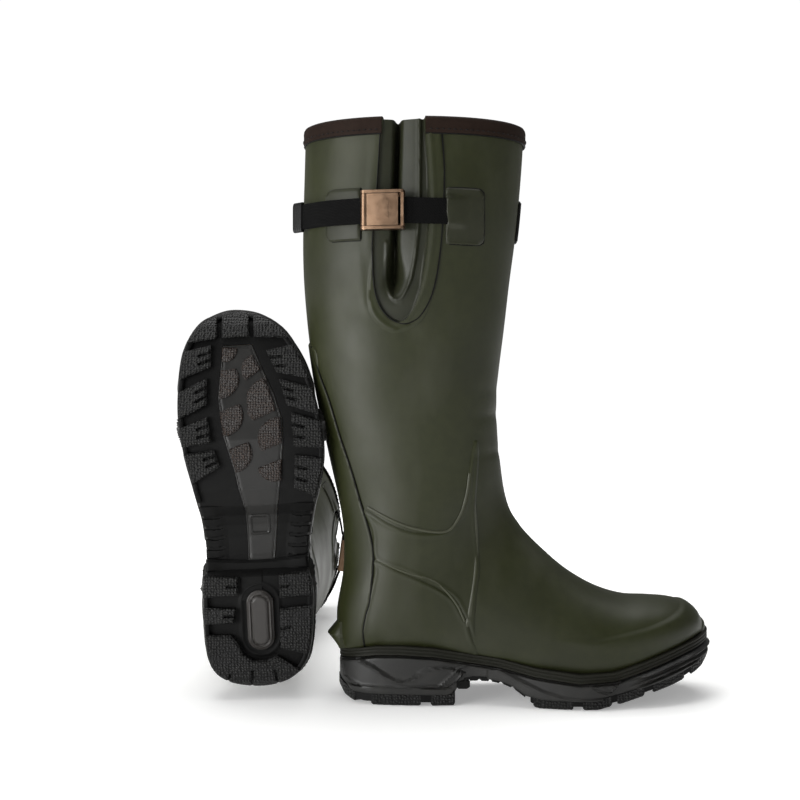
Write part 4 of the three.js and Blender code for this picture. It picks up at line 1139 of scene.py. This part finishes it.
# Lugs as they are seen from below the left boot: x, then the distance to its outer side.
LUGS = {
    "inner_1": [(269.5, -60), (275.7, -28.7), (258.4, -29.3), (246, -62)],
    "inner_2": [(236, -62), (249.7, -32.4), (228.5, -33.2), (214, -64)],
    "inner_3": [(208, -62), (219.3, -32.5), (199, -30), (195, -60)],
    "inner_4": [(190, -60), (193, -28.3), (179.5, -24.1), (160, -58)],
    "outer_1": [(276, 50), (270, 15.1), (252, 23), (244, 58)],
    "outer_2": [(236, 62), (247, 24.8), (226, 30.5), (214, 66)],
    "outer_3": [(210, 66), (220, 33.5), (193, 35), (190, 66)],
    "outer_4": [(182, 66), (186.5, 35.5), (160, 33.7), (148, 62)],
    "toe_inner": [(310, -70), (310, -24), (281, -24.2), (276, -60)],
    "toe_middle": [(310, -20), (310, 1), (281, 1.7), (281, -20)],
    "toe_outer": [(310, 5), (310, 60), (279, 36), (281, 5.7)],
    "heel_inner_front": [(93, -50), (90.5, -14), (76.3, -15), (75, -50)],
    "heel_inner_rear": [(68, -50), (65.3, -17.2), (53.8, -19), (53.8, -50)],
    "heel_outer_front": [(93, 50), (91, 18), (72.6, 18), (73.7, 50)],
    "heel_outer_rear": [(66, 50), (64, 18), (32, 17), (26, 40), (38, 50)],
    "heel_rear": [
        (46, -50), (44, -21.7), (38, -17), (28, -13), (22.8, -5), (22.8, 6), (26, 14), (14, 32), (5, 40),
        (-8, 40), (-8, -50),
    ],
}
# Half-moon pads of the centre strip: a corner, then the two ends of its arc.
PADS = [
    ((274, -20.5), (273, -8), (262, -21)), ((255.5, -22), (256.5, -9.6), (232.4, -23.8)),
    ((223, -23.5), (228.5, -7), (202.6, -21)), ((193, -17), (198.6, -1), (173.5, -12.5)),
    ((255, 11), (267, 4), (246, -2)), ((222, 22), (249, 14), (214, 3)),
    ((196, 26), (217, 25), (190, 9)), ((184, 25), (177, 5), (166, 24)),
]
CENTRE = [
    (275, -20), (234, -24.5), (205, -21.5), (177, -14), (161, -11), (143, -7), (100, -7),
    (100, 15), (143, 19.5), (168, 23.5), (196, 26.5), (215, 26.5), (234, 21), (254, 12.5), (275, 4),
]
CAPSULE = (55, 2, 24, 10.5)     # centre, half length and radius of the oval insert


def tread(x):
    return height_on(TREAD_LINE, x)


def groove(x):
    return height_on(GROOVE_LINE, x)


def sole_top(x):
    return height_on(WELT_LINE, x) - WELT_HEIGHT - CLEARANCE


def flipped(points):
    return [(x, -v) for x, v in points]


def inset_edge(inset):
    """The sole's edge moved inwards; inset is a number or one value for each point."""
    ahead = (np.roll(EDGE, -1, axis=0) - np.roll(EDGE, 1, axis=0)) / 2
    outward = np.stack([ahead[:, 1], -ahead[:, 0]], 1)
    outward /= np.linalg.norm(outward, axis=1, keepdims=True)
    return EDGE - outward * np.reshape(inset, (-1, 1))


def in_edge(x, y):
    return distance_inside(EDGE_LINE, x, y)


def in_capsule(x, y):
    """Distance to the outline of the heel's oval insert, positive inside."""
    cx, cy, half, radius = CAPSULE
    return radius - np.hypot(np.maximum(np.abs(x - cx) - (half - radius), 0), y + cy)


def put_sole(name, shape, finish, replaces=True):
    put(name, shape, finish, sharp=32, replaces=replaces)


HEEL_WAVE = [
    (2, 37), (10, 37.6), (16.8, 36.4), (28, 31.5), (38, 24.5), (45, 20.6), (52.8, 19.2), (59, 22), (66, 27),
    (73, 29.9), (88, 30.4), (100, 26), (94, 19), (86, 14.8), (52, 13.6), (20, 13.9), (6, 19),
]
ARCH_LINE = [(78, 14), (86, 21.5), (95.6, 29.6), (107, 32.6), (118, 31.4), (128, 28.5)]
BALL_LINE = [(118, 31.4), (127.7, 28.7), (144, 20.8), (160.7, 13.1), (177, 8.6), (194, 7.2), (206, 8.4)]
WEDGE = [(186, 26), (226, 28), (211, 11.8), (203.5, 14)]


def side_relief(x, z):
    """How far the sidewall stands out, by its side view."""
    top, low = sole_top(x), groove(x)
    share = (z - low) / np.maximum(top - low, 1)
    wave = distance_inside(HEEL_WAVE, x, z)
    out = 1.3 * smooth_step(wave, -0.4, 1.2) + 0.5 * bell(wave, 1.2, 0.8)
    # the block line above the heel lugs
    out += 0.9 * smooth_step(14.4 - z, 0, 0.9) * smooth_step(92 - x, 0, 10) * smooth_step(x, 4, 14)
    arch = distance_to_line(ARCH_LINE, x, z)
    out += 0.8 * bell(arch, 0, 0.9)
    ball = distance_to_line(BALL_LINE, x, z)
    out += 0.8 * bell(ball, 0, 0.9)
    under = z < np.interp(x, [p[0] for p in BALL_LINE], [p[1] for p in BALL_LINE])
    out += 0.9 * (under & (x > 118) & (x < 206)) * smooth_step(ball, 0, 1.2)
    wedge = distance_inside(WEDGE, x, z)
    knobs = 0.35 * np.sin(1.9 * (x + 0.55 * z)) * np.sin(1.7 * (z - 0.3 * x))
    out += (1.5 + knobs) * smooth_step(wedge, -0.5, 0.7) + 0.5 * bell(wedge, 0.6, 0.5)
    # the toe: two ridges under the welt and a plain thick edge below
    toe = smooth_step(x, 226, 244)
    drop = top - z
    out += toe * (1.1 * bell(drop, 3.6, 1.0) + 1.3 * bell(drop, 7.6, 1.1))
    out += toe * 1.0 * smooth_step(drop, 9.6, 11)
    # a dark groove under the welt
    out -= 1.1 * bell(drop, 0.9, 0.7)
    return 1.9 * out * smooth_step(share, 0.0, 0.08)


def make_outsole():
    levels = 30
    rings = []
    inner = inset_edge(12)
    rings.append(np.stack([*inner.T, groove(inner[:, 0]) + 0.4], 1))
    rings.append(np.stack([*inset_edge(2.0).T, groove(EDGE[:, 0]) + 0.2], 1))
    for level in range(levels + 1):
        share = level / levels
        low, top = groove(EDGE[:, 0]), sole_top(EDGE[:, 0])
        z = low + (top - low) * share
        out = side_relief(EDGE[:, 0], z) - 1.0 * (1 - share) ** 10
        rings.append(np.stack([*inset_edge(-out).T, z], 1))
    rings.append(np.stack([*inset_edge(4).T, sole_top(EDGE[:, 0])], 1))
    rings.append(np.stack([*inner.T, sole_top(inner[:, 0]) - 0.3], 1))
    put_sole("outsole_wall", loft(rings), wall_rubber, replaces=False)

    centre = flipped(CENTRE)

    def floor_field(x, y):
        return np.minimum.reduce([in_edge(x, y) - 1.2, -distance_inside(centre, x, y), -in_capsule(x, y) - 0.4])

    parts = [edge_band(), arch_plate(-1), arch_plate(1), heel_breast()]
    parts.append(plan_patch(
        floor_field,
        lambda x, y, inner: groove(x) - 0.1 - 1.1 * bell(in_capsule(x, y), -4.6, 1.5),
        lambda x, y: np.minimum(groove(x) + 4, sole_top(x) - 0.5), (-2, 304, -62, 60),
    ))
    parts.append(plan_patch(
        lambda x, y: rounded_block(x, y, 70, 93.5, -5, 13, 0.8),
        lambda x, y, inner: groove(x) - 0.9 + 0.6 * (1 - smooth_step(inner, 0, 0.9)),
        lambda x, y: groove(x) + 1, (68, 95, -7, 15),
    ))
    put_sole("outsole", joined(parts), sole_rubber)
    lugs = joined([lug(name, flipped(outline)) for name, outline in LUGS.items()])
    put_sole("outsole_lugs", lugs, lug_rubber, replaces=False)


def edge_band():
    """The rim of the sole, which closes the outer ends of the grooves between the lugs."""
    def field(x, y):
        rim = np.minimum(in_edge(x, y) + 0.3, 3.2 - in_edge(x, y))
        return np.minimum(rim, np.maximum(90 - x, x - 151))

    def low(x, y, inner):
        return np.minimum(tread(x) + 2.5 + 0.8 * (1 - smooth_step(inner, 0, 1.0)), groove(x) + 0.3)

    return plan_patch(field, low, lambda x, y: groove(x) + 2, (-2, 304, -62, 60))


def heel_breast():
    """The curved bar across the sole in front of the heel."""
    def field(x, y):
        bow = 97.5 - 3.0 * np.cos(y / 40 * math.pi / 2)
        return np.minimum(5.4 - np.abs(x - bow - 1.2), in_edge(x, y) + 0.3)

    def low(x, y, inner):
        return 14.5 - 2.0 * smooth_step(np.abs(y - 1), 22, 40) + 2.0 * (1 - smooth_step(field(x, y), 0, 2.2))

    return plan_patch(field, low, lambda x, y: np.full(np.shape(x), 19.0), (86, 108, -46, 44))


def lug(name, outline):
    """One lug of the tread, with slots cut from its inner side and rounded edges."""
    pts = np.array(outline, float)
    slots = []
    if name.startswith(("inner", "outer")):
        for share in (0.34, 0.68):
            start = pts[1] + (pts[2] - pts[1]) * share
            stop = pts[0] + (pts[3] - pts[0]) * share
            direction = (stop - start) / np.linalg.norm(stop - start)
            slots.append([tuple(start - direction * 2), tuple(start + direction * 9.5)])
    elif name.startswith("heel") and name != "heel_rear":
        middle = (pts[1] + pts[2]) / 2
        away = (pts[0] + pts[-1]) / 2 - middle
        away /= np.linalg.norm(away)
        slots.append([tuple(middle - away * 2), tuple(middle + away * 8)])
    elif name == "heel_rear":
        slots = [[(-2, 30), (12, 24)], [(-2, 8), (14, 6)], [(-2, -14), (14, -12)]]

    def field(x, y):
        edge = distance_inside(outline, x, y)
        return np.minimum(edge, in_edge(x, y) + 0.5)

    def low(x, y, inner):
        edge = field(x, y)
        z = tread(x) + 1.3 * (1 - smooth_step(edge, 0, 1.3))
        for slot in slots:
            z = z + 2.6 * (1 - smooth_step(distance_to_line(slot, x, y), 0.55, 1.15))
        return np.minimum(z, groove(x) + 0.3)

    x0, y0 = pts.min(axis=0)
    x1, y1 = pts.max(axis=0)
    reach = (max(x0, -2), min(x1, 304), max(y0, -61), min(y1, 60))
    return plan_patch(field, low, lambda x, y: groove(x) + 1.5, reach)


def arch_plate(side):
    """The side of the arch, with short slots that run in from the edge."""
    slots = []
    for x_slot in (103.5, 112, 120.5, 129, 138):
        tries = np.arange(60, 0, -0.5)
        reach = next(y for y in tries if in_edge(np.array(x_slot), np.array(y * side)) > 0)
        ends = ((0, reach + 2), (-1.2, reach - 8), (0, reach - 14))
        slots.append([(x_slot + along, side * y) for along, y in ends])

    def field(x, y):
        return np.minimum.reduce([in_edge(x, y) + 0.4, 22 - in_edge(x, y), side * y - 8, x - 99.5, 147 - x])

    def low(x, y, inner):
        cut = np.minimum.reduce([distance_to_line(slot, x, y) for slot in slots])
        z = groove(x) - 1.4 * (1 - smooth_step(in_edge(x, y), 8, 20))
        z = z + 2.8 * (1 - smooth_step(cut, 0.6, 1.3)) + 0.9 * (1 - smooth_step(in_edge(x, y), -0.2, 1.0))
        return np.minimum(z, groove(x) + 1.2)

    across = (-62, -7) if side < 0 else (7, 62)
    return plan_patch(field, low, lambda x, y: groove(x) + 2.2, (98, 148, *across))


def fan_distance(fan, x, y):
    corner, first, last = (np.array((p[0], -p[1])) for p in fan)
    angles = [math.atan2(*(p - corner)[::-1]) for p in (first, last)]
    turn = (angles[1] - angles[0] + math.pi) % (2 * math.pi) - math.pi
    radii = [np.linalg.norm(p - corner) for p in (first, last)]
    outline = [tuple(corner)]
    for share in np.linspace(0, 1, 13):
        bulge = 1 + 0.1 * math.sin(math.pi * share)
        radius = (radii[0] + (radii[1] - radii[0]) * share) * bulge
        angle = angles[0] + turn * share
        outline.append((corner[0] + radius * math.cos(angle), corner[1] + radius * math.sin(angle)))
    return distance_inside(outline, x, y)


def make_sole_centre():
    centre = flipped(CENTRE)
    parts = [plan_patch(
        lambda x, y: distance_inside(centre, x, y) - 0.4,
        lambda x, y, inner: groove(x) - 0.7 + 0.5 * (1 - smooth_step(inner, 0, 0.8))
        + 0.7 * bell(inner, 1.5, 0.6),
        lambda x, y: groove(x) + 1.8, (98, 277, -28, 26),
    )]
    pads = []
    for fan in PADS:
        pts = np.array(fan)
        pads.append(plan_patch(
            lambda x, y, fan=fan: fan_distance(fan, x, y) - 0.3,
            lambda x, y, inner: groove(x) - 2.9 + 1.3 * (1 - smooth_step(inner, 0, 1.5)),
            lambda x, y: groove(x),
            (pts[:, 0].min() - 4, pts[:, 0].max() + 4, -pts[:, 1].max() - 4, -pts[:, 1].min() + 4),
        ))
    parts.append(emblem(130, -4, 8.5))
    put_sole("sole_centre", joined(parts), sole_centre_rubber)
    put_sole("centre_pads", joined(pads), pad_rubber, replaces=False)


def emblem(x_mid, y_mid, size):
    """A plain rounded frame on the waist of the sole."""
    def field(x, y):
        outer = rounded_block(x, y, x_mid - size, x_mid + size, y_mid - size, y_mid + size, 3)
        return np.minimum(outer, 2.4 - outer)

    def low(x, y, inner):
        return groove(x) - 1.9 + 0.6 * (1 - smooth_step(inner, 0, 0.9))

    reach = (x_mid - size - 2, x_mid + size + 2, y_mid - size - 2, y_mid + size + 2)
    return plan_patch(field, low, lambda x, y: groove(x), reach)


def make_capsule():
    def low(x, y, inner):
        dome = 1.5 + 2.2 * (1 - smooth_step(inner, 0, 2.6))
        dome += 1.5 * bell(inner, 3.9, 0.8)
        return dome

    cx, _, half, _ = CAPSULE
    reach = (cx - half - 1, cx + half + 1, -14, 10)
    capsule = plan_patch(in_capsule, low, lambda x, y: np.full(np.shape(x), 8.3), reach)
    put_sole("heel_capsule", capsule, heel_insert_rubber)


def make_welt():
    reach = 9 + 8 * smooth_step(EDGE[:, 0], 235, 280)
    top_line = height_on(WELT_LINE, EDGE[:, 0])
    profile = [(None, -WELT_HEIGHT), (0.3, -WELT_HEIGHT)]
    for drop in np.linspace(WELT_HEIGHT - 0.3, 0.6, 20):
        line = 0.55 * math.exp(-((drop - 4.9) / 0.5) ** 2) + 0.45 * math.exp(-((drop - 2.2) / 0.45) ** 2)
        profile.append((0.1 + line, -drop))
    profile += [(0.45, -0.15), (1.3, 0.15), (2.4, 0.0), (None, 0.0)]
    rings = []
    for inset, rise in profile:
        ring = inset_edge(reach if inset is None else inset)
        rings.append(np.stack([*ring.T, top_line + rise], 1))
    put_sole("welt", loft(rings), foxing_rubber)


def make_footbed():
    bed_x = [row[0] for row in SECTIONS[9:]]
    bed_z = [row[1] + 14.5 for row in SECTIONS[9:]]

    def field(x, y):
        return in_edge(x, y) - 12.5

    def top(x, y):
        rise = 3.5 * bell(np.maximum(field(x, y), 0), 0, 4)
        return np.interp(x, bed_x, bed_z) + rise * (x < 200) - 0.4

    def under(x, y, inner):
        return np.interp(x, bed_x, bed_z) - 7.0 + 1.5 * np.exp(-inner / 2)

    made = put("footbed", plan_patch(field, under, top, (8, 285, -50, 46)), foam)


def finish_hidden():
    for node, finish, slot_name in (
        ("insole_board", board_fibre, "insole_board"), ("shank", shank_steel, "shank_steel"),
    ):
        for side in SIDES:
            piece = frame["nodes"][f"{side}_{node}"]
            piece.data.materials.clear()
            piece.data.materials.append(finish.material)


# ---------------------------------------------------------------- studio

def area_light(name, place, aim, size, power):
    light = bpy.data.lights.new(name, "AREA")
    light.shape = "RECTANGLE"
    light.size, light.size_y = size
    light.energy = power
    lamp = bpy.data.objects.new(name, light)
    lamp.location = place
    lamp.rotation_euler = (Vector(aim) - Vector(place)).to_track_quat("-Z", "Y").to_euler()
    bpy.context.scene.collection.objects.link(lamp)


def backdrop():
    """A white dome far behind everything. It fills the picture and lights nothing."""
    mesh = bmesh.new()
    bmesh.ops.create_uvsphere(mesh, u_segments=48, v_segments=24, radius=9.0)
    bmesh.ops.reverse_faces(mesh, faces=mesh.faces)
    data = bpy.data.meshes.new("backdrop")
    mesh.to_mesh(data)
    mesh.free()
    white = bpy.data.materials.new("backdrop white")
    white.use_nodes = True
    white.node_tree.nodes.clear()
    glow = white.node_tree.nodes.new("ShaderNodeEmission")
    glow.inputs["Strength"].default_value = 1.03
    output = white.node_tree.nodes.new("ShaderNodeOutputMaterial")
    white.node_tree.links.new(glow.outputs[0], output.inputs["Surface"])
    data.materials.append(white)
    dome = bpy.data.objects.new("backdrop", data)
    dome.visible_diffuse = False
    dome.visible_glossy = False
    dome.visible_shadow = False
    bpy.context.scene.collection.objects.link(dome)


def studio_floor():
    """A pale floor that glows faintly away from the boots, so that it meets the backdrop."""
    reach, below = 8.5, -0.0002
    mesh = bpy.data.meshes.new("floor")
    corners = [(x * reach, y * reach, below) for x, y in ((-1, -1), (1, -1), (1, 1), (-1, 1))]
    mesh.from_pydata(corners, [], [(0, 1, 2, 3)])
    finish = Finish("studio floor", (0.86, 0.86, 0.85, 1), 0.8)
    length = finish.node("ShaderNodeVectorMath")
    length.operation = "LENGTH"
    finish.tree.links.new(finish.place, length.inputs[0])
    finish.shader.inputs["Emission Color"].default_value = (1, 1, 1, 1)
    glow = finish.remap(length.outputs["Value"], 0.25, 1.2, 0.28, 0.95)
    finish.tree.links.new(glow, finish.shader.inputs["Emission Strength"])
    mesh.materials.append(finish.material)
    floor = bpy.data.objects.new("floor", mesh)
    bpy.context.scene.collection.objects.link(floor)


CAMERA_LENS = 56.6
CAMERA_AHEAD = 0.0492        # metres along the standing boot from its heel
CAMERA_DISTANCE = 1.030
CAMERA_HEIGHT = 0.240


def make_studio():
    scene = bpy.context.scene
    scene.view_settings.view_transform = "Standard"
    world = bpy.data.worlds.new("studio")
    world.use_nodes = True
    world.node_tree.nodes["Background"].inputs["Color"].default_value = (1, 1, 1, 1)
    world.node_tree.nodes["Background"].inputs["Strength"].default_value = 0.19
    scene.world = world
    backdrop()
    studio_floor()

    area_light("key", (-1.3, -1.2, 0.7), (0.0, -0.15, 0.24), (0.95, 1.6), 11)
    area_light("front", (-1.15, -1.35, 0.24), (0.0, -0.1, 0.1), (0.9, 0.45), 14)
    area_light("top", (-0.1, 0.15, 1.9), (0.0, 0.0, 0.0), (1.8, 1.6), 36)

    origin = PLACES["right"][1]
    camera = bpy.data.cameras.new("camera")
    camera.lens = CAMERA_LENS
    camera.sensor_width = 36
    camera.clip_start = 0.01
    viewpoint = bpy.data.objects.new("camera", camera)
    viewpoint.location = (origin[0] + CAMERA_AHEAD, origin[1] - CAMERA_DISTANCE, CAMERA_HEIGHT)
    viewpoint.rotation_euler = (math.pi / 2, 0, 0)
    scene.collection.objects.link(viewpoint)
    scene.camera = viewpoint


for make in (
    make_upper, make_panels, make_trim, make_patches, make_badge, make_spur, make_ridges, make_seams,
    make_gusset, make_binding, make_buckle, make_straps, make_outsole, make_sole_centre, make_capsule,
    make_welt, make_footbed, finish_hidden, make_studio,
):
    make()
